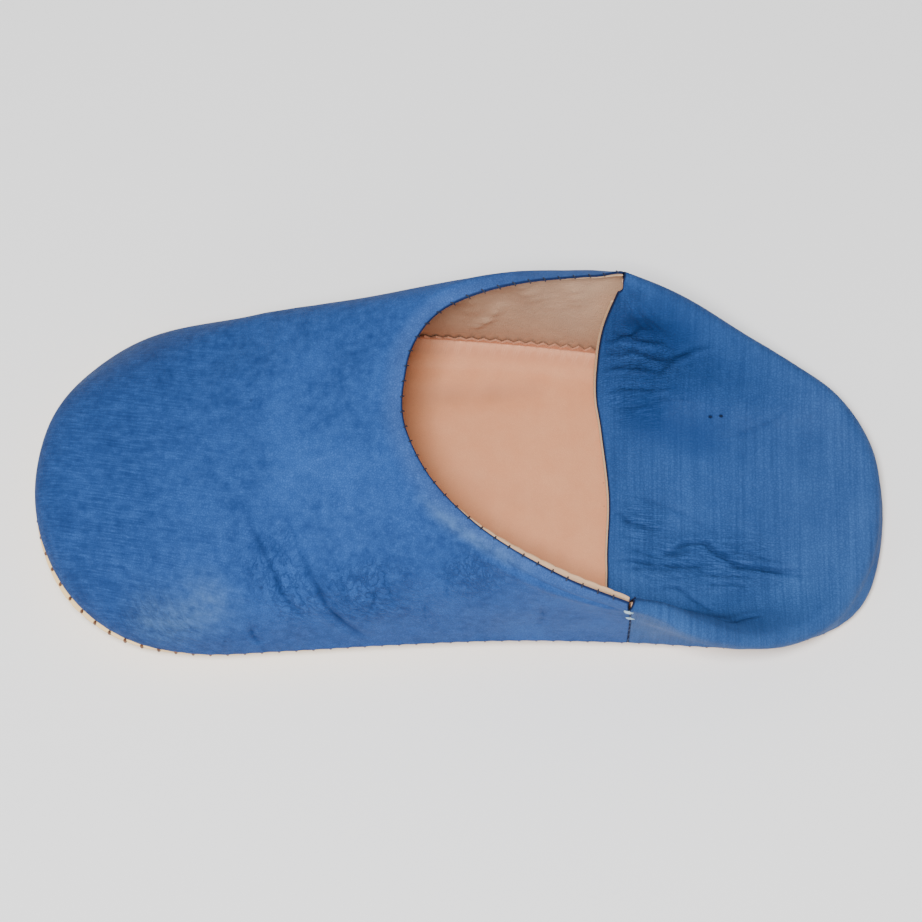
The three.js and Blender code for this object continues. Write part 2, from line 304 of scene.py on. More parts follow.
def add(tree, kind, *values, **named):
    """New shader node. Plain names set its properties, capital names its sockets, values its sockets in
    order; a socket given as a value is linked."""
    node = tree.nodes.new("ShaderNode" + kind)
    for key, value in named.items():
        if key[0].islower():
            setattr(node, key, value)
    sockets = [(node.inputs[k], value) for k, value in enumerate(values) if value is not None]
    sockets += [
        (node.inputs[key.replace("_", " ")], value) for key, value in named.items() if key[0].isupper()]
    for socket, value in sockets:
        if isinstance(value, bpy.types.NodeSocket):
            tree.links.new(value, socket)
        else:
            socket.default_value = value
    return node


def mix(tree, share, a, b):
    """Colour a passing into colour b by a share."""
    node = add(tree, "Mix", data_type="RGBA")
    for k, value in ((0, share), (6, a), (7, b)):
        if isinstance(value, bpy.types.NodeSocket):
            tree.links.new(value, node.inputs[k])
        else:
            node.inputs[k].default_value = value if k == 0 else (*value, 1)
    return node.outputs[2]


def maths(tree, operation, *values):
    """Value worked out from others."""
    return add(tree, "Math", *values, operation=operation).outputs[0]


def tinted(tree, colour, *layers):
    """Colour with others laid over it in turn, each by a mask, or by a mask times a strength."""
    for mask, *strength, over in layers:
        colour = mix(tree, maths(tree, "MULTIPLY", mask, *strength) if strength else mask, colour, over)
    return colour


def ranged(tree, value, low, high, to_low=0.0, to_high=1.0):
    """Value carried from one range to another and held at its ends."""
    node = add(tree, "MapRange", Value=value, From_Min=low, From_Max=high, To_Min=to_low, To_Max=to_high)
    return node.outputs["Result"]


def mark(tree, name):
    """One of the piece's own marks."""
    return add(tree, "Attribute", attribute_name=name).outputs["Fac"]


def group(name, inputs, outputs):
    """Empty node group with float sockets, and its input and output nodes."""
    tree = bpy.data.node_groups.new(name, "ShaderNodeTree")
    for socket, value in inputs.items():
        tree.interface.new_socket(socket, in_out="INPUT", socket_type="NodeSocketFloat").default_value = value
    for socket in outputs:
        tree.interface.new_socket(socket, in_out="OUTPUT", socket_type="NodeSocketFloat")
    return tree, tree.nodes.new("NodeGroupInput").outputs, tree.nodes.new("NodeGroupOutput").inputs


def place(tree, shared, **values):
    """A shared group placed in a material, with its own values."""
    node = tree.nodes.new("ShaderNodeGroup")
    node.node_tree = shared
    for key, value in values.items():
        node.inputs[key.replace("_", " ")].default_value = value
    return node.outputs


def grain_group():
    """Hide grain on Object coordinates: pebbles parted by fine valleys from cells bent by noise, finer
    pores from noise, and hairline wrinkles where a slower noise crosses its middle. Gives the relief and a
    mask of the valleys."""
    tree, given, made = group("hide grain", {"Pebbles": 1000, "Wrinkles": 1}, ["Height", "Valleys"])
    at = add(tree, "TexCoord").outputs["Object"]
    slow = maths(tree, "MULTIPLY", given["Pebbles"], 0.3)
    sway = add(tree, "TexNoise", Vector=at, Scale=slow, Detail=1.0).outputs["Color"]
    bent = add(tree, "VectorMath", sway, (0.0022, 0.0022, 0.0022), at, operation="MULTIPLY_ADD").outputs[0]
    cells = add(tree, "TexVoronoi", feature="DISTANCE_TO_EDGE", Vector=bent, Scale=given["Pebbles"])
    pebble = ranged(tree, cells.outputs["Distance"], 0, 0.3)
    quick = maths(tree, "MULTIPLY", given["Pebbles"], 3.5)
    pores = add(tree, "TexNoise", Vector=at, Scale=quick, Detail=2.0).outputs["Fac"]
    slower = maths(tree, "MULTIPLY", given["Pebbles"], 0.16)
    line = add(tree, "TexNoise", Vector=bent, Scale=slower, Detail=3.0)
    off = maths(tree, "ABSOLUTE", maths(tree, "SUBTRACT", line.outputs["Fac"], 0.5))
    wrinkle = maths(tree, "MULTIPLY", ranged(tree, off, 0, 0.05, -1, 0), given["Wrinkles"])
    skin = maths(tree, "MULTIPLY_ADD", pores, 0.45, maths(tree, "MULTIPLY", pebble, 0.5))
    tree.links.new(maths(tree, "ADD", skin, wrinkle), made["Height"])
    tree.links.new(ranged(tree, skin, 0.6, 0.2), made["Valleys"])
    return tree


def clouds_group():
    """Uneven dye and wear on Object coordinates: broad clouds, smaller patches and sparse specks."""
    tree, given, made = group("uneven colour", {"Clouds": 18, "Patches": 90}, ["Clouds", "Patches", "Specks"])
    at = add(tree, "TexCoord").outputs["Object"]
    broad = add(tree, "TexNoise", Vector=at, Scale=given["Clouds"], Detail=3.0, Roughness=0.55)
    small = add(tree, "TexNoise", Vector=at, Scale=given["Patches"], Detail=4.0, Roughness=0.6)
    speck = add(tree, "TexVoronoi", Vector=at, Scale=maths(tree, "MULTIPLY", given["Patches"], 0.55))
    tree.links.new(ranged(tree, broad.outputs["Fac"], 0.32, 0.68), made["Clouds"])
    tree.links.new(ranged(tree, small.outputs["Fac"], 0.3, 0.7), made["Patches"])
    tree.links.new(ranged(tree, speck.outputs["Distance"], 0.035, 0.015), made["Specks"])
    return tree


HIDE_GRAIN = grain_group()
UNEVEN_COLOUR = clouds_group()


def material(name):
    """New material, its node tree and its Principled shader."""
    made = bpy.data.materials.new(name)
    made.use_nodes = True
    return made, made.node_tree, made.node_tree.nodes["Principled BSDF"]


def surface(tree, shader, colour, roughness, height, strength, depth):
    """Colour, roughness and a bump of some depth in metres, put on a material's shader."""
    bump = add(tree, "Bump", Strength=strength, Distance=depth, Height=height)
    for name, value in (("Base Color", colour), ("Roughness", roughness), ("Normal", bump.outputs["Normal"])):
        if isinstance(value, bpy.types.NodeSocket):
            tree.links.new(value, shader.inputs[name])
        else:
            shader.inputs[name].default_value = value


def sole_material():
    """Cream leather, pinker and greyer towards the heel, soiled by clouds, darker in the stitches' dents,
    with a smooth low grain."""
    made, tree, shader = material("sole leather")
    uneven = place(tree, UNEVEN_COLOUR, Clouds=22, Patches=120)
    along = add(tree, "SeparateXYZ", add(tree, "TexCoord").outputs["Object"]).outputs["X"]
    colour = tinted(
        tree, mix(tree, ranged(tree, along, -0.06, 0.06), (0.92, 0.62, 0.25), (0.74, 0.45, 0.27)),
        (uneven["Clouds"], 0.3, (0.6, 0.36, 0.18)), (uneven["Patches"], 0.16, (0.95, 0.74, 0.45)),
        (mark(tree, "dent"), 0.6, (0.28, 0.13, 0.06)))
    grain = place(tree, HIDE_GRAIN, Pebbles=1500, Wrinkles=0.35)
    rough = ranged(tree, uneven["Patches"], 0, 1, 0.42, 0.6)
    surface(tree, shader, colour, rough, grain["Height"], 0.35, 0.0002)
    return made


grids, dents = sole_grids()
sole = make_piece("sole_leather", grids, {"dent": dents})
sole.data.materials.append(sole_material())
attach(sole, "root")
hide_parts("sole")


# Insole
# A sock of thin pinkish tan leather, pinked round its edge and glued into the dish of the sole with its edge
# bent up against the wall. The bend shows as a line a little inside the teeth, darkened with painted shade;
# the bent-up margin is lifted with painted light.

INSOLE, GAP = 1.4, 0.4
MARGIN_INSET = 2.6
MARGIN_RISE = table("along height", [
    (0, 5), (90, 6.5), (120, 8.6), (150, 9.4), (185, 9), (230, 4.5), (270, 4),
])
WALL_GAP, WALL_REACH = 1.1, 2.0         # the margin lies this far inside the wall's middle, from this height
WALL_SLOPE = table("angle slope", [     # how much the wall leans in for each millimetre of its height
    (-np.pi, 0.02), (-2.2, 0.04), (-1.95, 0.06), (-1.3, 0.18), (-0.7, 0.06), (0, -0.1), (0.7, 0.26),
    (1.3, 0.36), (1.9, 0.2), (2.2, 0.04), (np.pi, 0.02),
])
TOOTH_DEPTH, TOOTH_THICKNESS = 5.4, 0.7
DEEPEST_TOOTH = 0.6                     # as a share of the margin's height
TEETH, TOOTH_STEPS = 86, 6              # teeth on each side of the foot, and points for each
BEND_BELOW, BEND_DEPTH, BEND_WIDTH = 8.4, 0.25, 0.5   # the bend line, sunk in below the teeth's tips and darkened with painted shade
MARGIN_LIGHT_FROM, MARGIN_LIGHT_OVER = 0.8, 2.0         # painted light lifts the margin above the seam line
INSOLE_CREASES = [   # width, depth and places (along, across, height)
    (4.0, 1.1, [(112, 36, 9), (130, 36.5, 10.5), (150, 37.5, 11.2), (166, 40, 10.8)]),
    (6.0, 0.35, [(128, 10, 10), (146, 3, 11), (168, -2, 10.6)]),
    (5.0, 0.3, [(138, -10, 11), (156, -18, 11.2), (174, -20, 10)]),
]


def insole_grids():
    """Lower and upper face of the turned-up margin on both sides, cut into teeth by a triangle wave of the
    edge's length and lying against the wall, and the two level faces, the upper one dented by soft
    creases. Marks where painted shade darkens the bend line and the creases, and where painted light lifts
    the margin."""
    width = RIM_IN + DISH_ROUND - MARGIN_INSET
    wave = np.abs(2 * (np.arange(TEETH * TOOTH_STEPS + 1) / TOOTH_STEPS % 1) - 1)
    ramp = np.linspace(0, 1, EDGE_STEPS + 1)
    grids, edges, lines, margins = [], {}, [], []
    for side in (-1, 1):
        angle, _ = even_angles(side, TEETH * TOOTH_STEPS)
        seam = seam_line(angle)
        rim = smooth(MARGIN_RISE["along"], MARGIN_RISE["height"], seam[:, 0])
        rise = seam[:, 2] + rim - underside(seam[:, 0]) - SOLE - GAP
        start = np.arcsin(np.clip(TOOTH_DEPTH * wave / rise, 0, DEEPEST_TOOTH))
        swing = start[:, None] + (np.pi / 2 - start)[:, None] * ramp
        low = turned_edge(angle[:, None], swing, MARGIN_INSET, width, rim[:, None], SOLE + GAP)
        high = turned_edge(angle[:, None], swing, MARGIN_INSET + INSOLE, width - INSOLE, rim[:, None],
                           SOLE + GAP + INSOLE)
        tip = (seam[:, 2] + rim)[:, None]
        slope = smooth(WALL_SLOPE["angle"], WALL_SLOPE["slope"], angle)[:, None]
        back = 1 - np.cos(swing)
        line = np.exp(-((tip - high[..., 2] - BEND_BELOW) / BEND_WIDTH) ** 2)
        for face, inset, reach in ((low, 0, width), (high, INSOLE, width - INSOLE)):
            over = face[..., 2] - seam[:, None, 2]
            wall = WALL_GAP + slope * over + inset * TOOTH_THICKNESS / INSOLE
            move = (wall - MARGIN_INSET - inset - reach * back) * ease(over / WALL_REACH)
            face += inward(angle)[:, None] * move[..., None]
        high = high - UP * (BEND_DEPTH * line)[..., None]
        grid = np.concatenate([low[:, ::-1], high], 1)
        crease_shade = np.concatenate([0 * line, line], 1)
        # painted light: the margin is drawn paler where it stands above the seam line
        stands = ease((grid[..., 2] - seam[:, None, 2] - MARGIN_LIGHT_FROM) / MARGIN_LIGHT_OVER)
        grids.append(grid if side < 0 else grid[:, ::-1])
        lines.append(crease_shade if side < 0 else crease_shade[:, ::-1])
        margins.append(stands if side < 0 else stands[:, ::-1])
        edges[side] = (grid[:, 0], grid[:, -1])
    bottom = across_from(edges[-1][0], edges[1][0], SOLE + GAP, ACROSS_STEPS)
    top = across_from(edges[-1][1], edges[1][1], SOLE + GAP + INSOLE, ACROSS_STEPS * 2)
    dip = creases(top, [(w, d, 0, flowing(p)) for w, d, p in INSOLE_CREASES])
    inside = np.sin(np.linspace(0, np.pi, top.shape[1])) ** 0.5
    top = top - UP * (dip * inside)[..., None]
    marks = {"crease_shade": [*lines, np.zeros(bottom.shape[:-1]), dip],
             "margin": [*margins, np.zeros(bottom.shape[:-1]), np.zeros(top.shape[:-1])]}
    return [*grids, bottom[:, ::-1], top], marks


def insole_material():
    """Pinkish tan leather, matt, with faint clouds, painted shade along the bend line and in the creases,
    painted light on the margin."""
    made, tree, shader = material("insole leather")
    uneven = place(tree, UNEVEN_COLOUR, Clouds=24, Patches=160)
    grain = place(tree, HIDE_GRAIN, Pebbles=1900, Wrinkles=0.15)
    # Painted shade darkens the bend line and the creases; painted light lifts the margin above the seam line.
    colour = tinted(
        tree, (0.64, 0.262, 0.122), (uneven["Clouds"], 0.5, (0.57, 0.225, 0.1)),
        (uneven["Patches"], 0.4, (0.7, 0.33, 0.17)), (uneven["Specks"], 0.5, (0.22, 0.09, 0.05)),
        (mark(tree, "crease_shade"), 0.5, (0.42, 0.17, 0.085)), (mark(tree, "margin"), 0.8, (0.84, 0.5, 0.34)),
        (grain["Valleys"], 0.3, (0.45, 0.17, 0.08)))
    surface(tree, shader, colour, 0.72, grain["Height"], 0.3, 0.00015)
    return made


grids, marks = insole_grids()
insole = make_piece("insole_sock", grids, marks)
insole.data.materials.append(insole_material())
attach(insole, "root")
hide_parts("insole")


# Vamp
# The front of the upper, one piece of blue-dyed goat leather drawn over the last. Its lower edge is sewn to
# the sole's rim, its ends to the heel quarter, and its throat is rolled in and whipped to the lining.

INNER_SEAM, OUTER_SEAM = 188.5, 186.5
THROAT = table("round along across height", [
    (-1, 188.5, -51.5, 62), (-0.72, 167, -44, 65), (-0.45, 141, -28.5, 70), (-0.22, 125, -10.5, 72.5),
    (0, 117.5, 12, 73), (0.18, 119.5, 28, 75), (0.36, 130, 40.3, 79.5), (0.6, 152, 50.7, 76),
    (0.8, 170, 54.5, 68), (1, 186.5, 56, 62.5),
])
RIBS = table("round share rise lean reach drop", [
    (-1, -1, 18, 1, 0.3, 18), (-0.6, -0.66, 17, 3, 0.42, 16), (-0.3, -0.36, 18, 1, 0.6, 23),
    (0, 0, 23, -3, 0.86, 41), (0.3, 0.36, 19, 5, 0.6, 28), (0.6, 0.66, 22, 8, 0.32, 24),
    (1, 1, 18, 3.5, 0, 18),
])
LEATHER_FACE, LEATHER_BACK = 0.9, 0.0   # the blue leather's faces, from the middle of the wall
EDGE_ROUND = 0.5                        # rounding of a cut edge
EDGE_PLACES = np.array([0, 0.06, 0.17, 0.33, 0.55])     # rows of points next to a cut edge
BACK_STRIDE = 3                         # the hidden face keeps every third point
ROLL_WIDTH, ROLL_DEPTH = 6.0, 2.2       # the throat rolls in over this width, by this much
TURN_WIDTH, TURN_DEPTH, TURN_RISE = 3.2, 2.6, 0.9    # on the outer side its last stretch is turned in
CORNER, CORNER_DEPTH = np.array([0, 1.4, 2.6]), 16   # its outer end stands up and out by this much
SPREAD, SPREAD_DEPTH = 2.6, 24          # its inner side is worn wider by this much, over this depth
GROOVE_AT, GROOVE_DEPTH, GROOVE_WIDTH = 6.5, 0.55, 1.2    # along the throat, with a low ridge outside it
RIDGE_AT, RIDGE_HEIGHT, RIDGE_WIDTH = 9.5, 0.6, 2.5
SCALLOP, SCALLOP_FADE = 0.4, 2.5        # the lower edge sags this far over the sole between stitches
TUCK, TUCK_HEIGHT = 0.7, 4.0            # the seam draws the wall's foot in round the toe
TUCK_AT, TUCK_ROUND = -0.18, 0.2
SEAM_CLOSE, SEAM_REACH = -1.6, 14.0     # at the top of the side seams the ends are drawn together
SLACK, SLACK_FADE = 0.28, 12            # slow swells of the wall, fading out at its edges
CREASE_EDGE, RIB_EDGE = 6, 10           # over these widths creases and ridge fade out at the wall's edges
OUTER_SIDE, INNER_SIDE = (0.02, 0.3), (0.3, -0.4)   # start and stretch round of what is on one side alone
WORN_SIDE, OUTER_CORNER = (0.08, -0.2), (0.6, 0.3)
VAMP_ROUND = [(-1, 0), (-0.75, 0.1), (-0.1, 0.6), (0.25, 0.78), (1, 1)]   # places round, and rows up to them
VAMP_STEPS = (VAMP_ROUND, 470, (160,))
VAMP_ROUND_LENGTH, VAMP_UP_LENGTH, SLANT = 170, 100, 0.7   # the fine wrinkles lie slanting over the wall
VAMP_CREASES = [   # width, depth, depth of the fine line and places (round, up)
    (1.6, 0.55, 0.26, [(-0.14, 0.76), (-0.2, 0.72), (-0.27, 0.67), (-0.35, 0.59), (-0.46, 0.425),
                       (-0.51, 0.31)]),
    (1.8, 0.6, 0.26, [(-0.31, 0.7), (-0.42, 0.59), (-0.54, 0.36), (-0.63, 0.09)]),
    (1.4, 0.45, 0.25, [(-0.43, 0.31), (-0.48, 0.11)]),
    (0.9, 0.18, 0.14, [(-0.19, 0.79), (-0.27, 0.74), (-0.36, 0.66), (-0.42, 0.57)]),
    (0.9, 0.18, 0.14, [(-0.33, 0.75), (-0.42, 0.66), (-0.49, 0.54), (-0.53, 0.45)]),
    (0.9, 0.15, 0.14, [(-0.36, 0.7), (-0.44, 0.58), (-0.51, 0.46), (-0.56, 0.32)]),
    (0.8, 0.15, 0.12, [(-0.29, 0.69), (-0.36, 0.61), (-0.43, 0.52), (-0.47, 0.44)]),
    (0.8, 0.14, 0.12, [(-0.24, 0.72), (-0.31, 0.66), (-0.37, 0.58)]),
    (1.2, 0.3, 0.16, [(-0.5, 0.62), (-0.55, 0.5), (-0.58, 0.36)]),
    (0.9, 0.2, 0.12, [(-0.46, 0.72), (-0.52, 0.63), (-0.57, 0.52), (-0.6, 0.44)]),
    (1.0, 0.24, 0.12, [(-0.62, 0.55), (-0.66, 0.38), (-0.7, 0.22)]),
    (0.8, 0.16, 0.12, [(-0.56, 0.78), (-0.6, 0.68), (-0.65, 0.55)]),
    (3.0, 0.5, 0.15, [(0.46, 0.62), (0.5, 0.45), (0.52, 0.28)]),
    (2.4, 0.45, 0.15, [(0.56, 0.7), (0.61, 0.52), (0.63, 0.3)]),
    (2.2, 0.4, 0.15, [(0.7, 0.66), (0.74, 0.48), (0.75, 0.26)]),
    (1.6, 0.35, 0.15, [(-0.8, 0.62), (-0.84, 0.42), (-0.85, 0.22)]),
]
VAMP_HOLLOWS = [   # the same of the broad soft hollows
    (5.5, 1.00, 0, [(0.3, 0.75), (0.25, 0.72), (0.2, 0.69), (0.15, 0.67), (0.1, 0.66)]),
    (4.5, 0.6, 0, [(0.24, 0.81), (0.2, 0.795), (0.16, 0.78), (0.12, 0.76)]),
    (7.0, 0.6, 0, [(-0.24, 0.6), (-0.31, 0.52), (-0.37, 0.4)]),
    (8.0, 0.6, 0, [(-0.42, 0.72), (-0.5, 0.62), (-0.6, 0.42)]),
    (6.0, 0.7, 0, [(-0.18, 0.36), (-0.26, 0.3), (-0.34, 0.2)]),
]
WRINKLED = [   # width of the finely wrinkled skin along a path, and its places (round, up)
    (11, [(-0.2, 0.72), (-0.33, 0.62), (-0.46, 0.45), (-0.54, 0.25)]),
    (14, [(-0.36, 0.78), (-0.46, 0.66), (-0.55, 0.48), (-0.62, 0.22)]),
    (12, [(-0.5, 0.86), (-0.6, 0.78), (-0.7, 0.66)]),
    (11, [(-0.22, 0.3), (-0.31, 0.24), (-0.4, 0.17)]),
]
VAMP_SHADED = [   # width of the darker stretches, painted shade over the far side and plain darker patches elsewhere, and their places (round, up)
    (11, [(0.04, 0.62), (0.12, 0.65), (0.2, 0.69), (0.28, 0.73), (0.38, 0.75), (0.5, 0.7)]),
    (8, [(0.2, 0.93), (0.08, 0.93), (-0.04, 0.93), (-0.14, 0.93)]),
    (9, [(-0.46, 0.62), (-0.53, 0.5), (-0.6, 0.36), (-0.66, 0.2)]),
    (10, [(0.1, 0.3), (0.2, 0.38), (0.32, 0.5), (0.44, 0.62)]),
]
PAINTED_HIGHLIGHTS = [   # width and strength of the painted highlights, sheen along the near throat and on the near toe, and their places (round, up)
    (2.2, 1.0, [(-0.28, 0.952), (-0.4, 0.948), (-0.47, 0.945), (-0.53, 0.943), (-0.6, 0.94), (-0.7, 0.94)]),
    (9.0, 0.8, [(-0.25, 0.15), (-0.3, 0.25), (-0.321, 0.296), (-0.333, 0.346),
                (-0.326, 0.43), (-0.31, 0.55)]),
]


def bezier(foot, leave, arrive, top, s):
    """Cubic from foot to top that leaves towards one point and arrives from another."""
    s = s[..., None]
    return (1 - s)**3 * foot + 3 * (1 - s)**2 * s * leave + 3 * (1 - s) * s**2 * arrive + s**3 * top


def followed(columns, names, t):
    """Smooth curves of some columns of a table over its first one, side by side."""
    first = next(iter(columns.values()))
    return np.stack([smooth(first, columns[name], t) for name in names.split()], -1)


def vamp_form(t, s):
    """Middle of the wall: ribs from the seam line up to the throat, t from the inner side seam (-1) round
    the toe to the outer one (1), s from sole (0) to throat (1)."""
    share, rise, lean, reach, drop = np.moveaxis(followed(RIBS, "share rise lean reach drop", t), -1, 0)
    angle = share * np.where(share < 0, angle_at(INNER_SEAM), angle_at(OUTER_SEAM))
    foot = seam_line(angle)
    top = followed(THROAT, "along across height", t)
    leave = foot + UP * rise[..., None] + inward(angle) * lean[..., None]
    arrive = top + (foot - top) * reach[..., None]
    arrive[..., 2] = top[..., 2] - drop
    return bezier(foot, leave, arrive, top, s)


def sheet_places(form, steps):
    """Grid of t and s: even steps, denser where asked, with the rows next to every cut edge at fixed
    distances."""
    spread, count, stretches = steps
    place_round, share = np.array(spread, float).T
    middle = np.interp(np.linspace(0, 1, count + 1), share, place_round)
    half_way = np.array([0.5])
    turn = np.linalg.norm(form(np.array([-1 + TINY]), half_way) - form(np.array([-1.0]), half_way))
    near_end = EDGE_PLACES * TINY / turn
    t = np.r_[-1 + near_end, middle[2:-2], 1 - near_end[::-1]]
    end = float(len(stretches))
    even = np.concatenate([k + np.arange(count) / count for k, count in enumerate(stretches)])[1:]
    first = np.linalg.norm(form(t, 0 * t + TINY) - form(t, 0 * t), axis=-1) / TINY
    last = np.linalg.norm(form(t, 0 * t + end) - form(t, 0 * t + end - TINY), axis=-1) / TINY
    low, high = EDGE_PLACES / first[:, None], EDGE_PLACES[::-1] / last[:, None]
    between = even + low[:, -1:] * np.clip(1 - even, 0, 1) - high[:, :1] * np.clip(even - end + 1, 0, 1)
    s = np.concatenate([low, between, end - high], 1)
    return np.broadcast_to(t[:, None], s.shape), s


def facing(points):
    """Unit normals of a grid over (t, s), along (rise of s) x (rise of t)."""
    return unit(np.cross(np.gradient(points, axis=1), np.gradient(points, axis=0)))


def from_edges(points):
    """Distances of a grid's points from its first and last column and from its first and last row."""
    up, round_ = lengths(points, 1), lengths(points, 0)
    return up, up[:, -1:] - up, round_, round_[-1:] - round_


def slack(points, size):
    """Slow swells of soft leather: a sum of crossing sine waves of a few centimetres."""
    x, y, z = np.moveaxis(points, -1, 0)
    crossing = np.sin(x / 9.1 + y / 14.3) * np.cos(z / 11.7 - y / 17.9)
    return size * (crossing + 0.6 * np.sin(x / 15.7 - z / 8.3 + 1.1))


def stretch(t, place_round):
    """Smooth step round the shoe, from a start over a stretch, backwards where the stretch is negative."""
    start, over = place_round
    return ease((t - start) / over)


def laid(form, rows):
    """Rows of a table with their last entry, a list of places, made a smooth path on a form."""
    return [(*row[:-1], form(*flowing(row[-1]).T)) for row in rows]


def vamp_skin(t, s):
    """The wall's middle with its creases, slack and rolled throat, its normals and the creases' depth."""
    form = vamp_form(t, s)
    normal = facing(form)
    bottom, top, inner_end, outer_end = from_edges(form)
    inside = ease(np.minimum(bottom, top) / CREASE_EDGE)
    dip, hollow = (creases(form, laid(vamp_form, rows)) * inside for rows in (VAMP_CREASES, VAMP_HOLLOWS))
    far = stretch(t, OUTER_SIDE) * ease(outer_end / SLACK_FADE)
    turned = far * np.clip(1 - top / TURN_WIDTH, 0, 1) ** 1.3
    roll = ROLL_DEPTH * np.clip(1 - top / ROLL_WIDTH, 0, 1) ** 2 + TURN_DEPTH * turned
    end = np.minimum(inner_end, outer_end)
    ribbed = RIDGE_HEIGHT * np.exp(-((top - RIDGE_AT) / RIDGE_WIDTH) ** 2)
    ribbed -= GROOVE_DEPTH * np.exp(-((top - GROOVE_AT) / GROOVE_WIDTH) ** 2)
    ribbed *= stretch(t, INNER_SIDE) * ease(end / RIB_EDGE)
    tuck = TUCK * np.clip(1 - bottom / TUCK_HEIGHT, 0, 1) ** 2 * np.exp(-((t - TUCK_AT) / TUCK_ROUND) ** 2)
    free = ease(np.minimum.reduce([bottom, top, end]) / SLACK_FADE)
    shift = slack(form, SLACK) * free - dip - hollow - roll - tuck + ribbed
    close = SEAM_CLOSE * s ** 3 * np.clip(1 - end / SEAM_REACH, 0, 1) ** 2
    skin = form + normal * shift[..., None]
    skin[..., 0] += close
    skin[..., 2] += TURN_RISE * far * np.clip(1 - top / ROLL_WIDTH, 0, 1)
    way = np.gradient(form, axis=0)
    out = unit(np.stack([-way[..., 1], way[..., 0], 0 * way[..., 0]], -1))
    spread = SPREAD * stretch(t, WORN_SIDE) * np.clip(1 - top / SPREAD_DEPTH, 0, 1) ** 2
    corner = stretch(t, OUTER_CORNER) * np.clip(1 - top / CORNER_DEPTH, 0, 1) ** 2
    skin += out * spread[..., None] + CORNER * corner[..., None]
    return skin, normal, dip


def gathered(count):
    """Places 0 to count - 1 with all but those next to the ends moved back to every third one."""
    place_at, edge = np.arange(count), len(EDGE_PLACES)
    inner = (place_at >= edge) & (place_at < count - edge)
    return np.where(inner, edge + (place_at - edge) // BACK_STRIDE * BACK_STRIDE, place_at)


def thinned(grid):
    """Grid with its inner points gathered, so that most of its faces close up, and its border kept."""
    rows, columns = gathered(grid.shape[0]), gathered(grid.shape[1])
    thin = grid[rows][:, columns]
    thin[0], thin[-1], thin[:, 0], thin[:, -1] = grid[0], grid[-1], grid[:, 0], grid[:, -1]
    return thin


def leaf(middle, normal, low, high, edge):
    """Closed sheet between two distances from a surface, its faces drawn together in a half round at the cut
    edges. Faces along the normal and against it share their outer points."""
    half = (high - low) / 2 * np.sqrt(1 - (1 - np.clip(edge / EDGE_ROUND, 0, 1)) ** 2)
    core = middle + normal * ((high + low) / 2)
    return core + normal * half[..., None], core - normal * half[..., None]


BAND_FADE = 0.3


def bands(points, rows):
    """Soft mask along paths, 1 in the middle of each."""
    mask = np.zeros(points.shape[:-1])
    for width, path in rows:
        distance, share = nearness(points, path)
        ends = ease(share / BAND_FADE) * ease((1 - share) / BAND_FADE)
        mask = np.maximum(mask, np.exp(-(distance / width) ** 2) * ends)
    return mask


def blue_leaf(middle, normal):
    """A leaf of blue leather on a wall's middle, its lower edge sagging between the stitches of the sole's
    seam. Gives the sagging middle, both faces, and the distances from the upper edge and from the seams."""
    bottom, top, *ends = from_edges(middle)
    beat = np.sin(np.pi * lengths(middle[:, :1]) / SOLE_STITCH) ** 2
    middle = middle - UP * (SCALLOP * beat * np.exp(-bottom / SCALLOP_FADE))[..., None]
    seam = np.minimum.reduce([bottom, *ends])
    return middle, leaf(middle, normal, LEATHER_BACK, LEATHER_FACE, np.minimum(seam, top)), top, seam


def vamp_leather_grids():
    """The blue leaf of the wall and its marks: creases, throat, seams, wrinkles, painted highlights, painted
    shade and the way of the skin."""
    t, s = sheet_places(vamp_form, VAMP_STEPS)
    skin, normal, dip = vamp_skin(t, s)
    middle, (front, back), top, seam = blue_leaf(skin, normal)
    wrinkled, shaded = (bands(middle, laid(vamp_form, rows)) for rows in (WRINKLED, VAMP_SHADED))
    highlight = np.maximum.reduce([
        strength * bands(middle, [(width, path)]) for width, strength, path in laid(vamp_form, PAINTED_HIGHLIGHTS)])
    round_way, up_way = t * VAMP_ROUND_LENGTH, s * VAMP_UP_LENGTH
    values = {"crease": dip, "throat": top, "seam": seam,
              "wrinkled": wrinkled, "highlight": highlight, "shaded": shaded,
              "lie": (round_way - up_way) * SLANT, "run": (round_way + up_way) * SLANT}
    marks = {name: [value[:, ::-1], thinned(value)] for name, value in values.items()}
    return [front[:, ::-1], thinned(back)], marks


def streaks_group():
    """Brush strokes of the dye: noise drawn out along one direction of the Object coordinates by a Mapping
    node, one set along the foot and a little turned, one across it."""
    tree, given, made = group("brush strokes", {"Fineness": 1}, ["Along", "Across"])
    at = add(tree, "TexCoord").outputs["Object"]
    sets = (("Along", (0.013, 0.00045, 0.003), -0.24), ("Across", (0.0008, 0.04, 0.02), 0.0))
    for name, size, turn in sets:
        drawn = add(tree, "Mapping", vector_type="TEXTURE", Vector=at, Rotation=(0, 0, turn), Scale=size)
        noise = add(tree, "TexNoise", Vector=drawn.outputs["Vector"], Scale=given["Fineness"], Detail=4.0,
                    Roughness=0.65)
        tree.links.new(ranged(tree, noise.outputs["Fac"], 0.36, 0.66), made[name])
    return tree


def wrinkle_group():
    """Fine wrinkles of used skin: lines where a noise drawn out along the piece's own marks crosses its
    middle."""
    tree, given, made = group("fine wrinkles", {"Fineness": 0.6}, ["Lines"])
    drawn_out = maths(tree, "MULTIPLY", mark(tree, "run"), 0.22)
    along = add(tree, "CombineXYZ", mark(tree, "lie"), drawn_out).outputs[0]
    noise = add(tree, "TexNoise", Vector=along, Scale=given["Fineness"], Detail=3.0, Roughness=0.55)
    off = maths(tree, "ABSOLUTE", maths(tree, "SUBTRACT", noise.outputs["Fac"], 0.5))
    tree.links.new(ranged(tree, off, 0.07, 0.0), made["Lines"])
    return tree


FINE_WRINKLES = wrinkle_group()
BRUSH_STROKES = streaks_group()


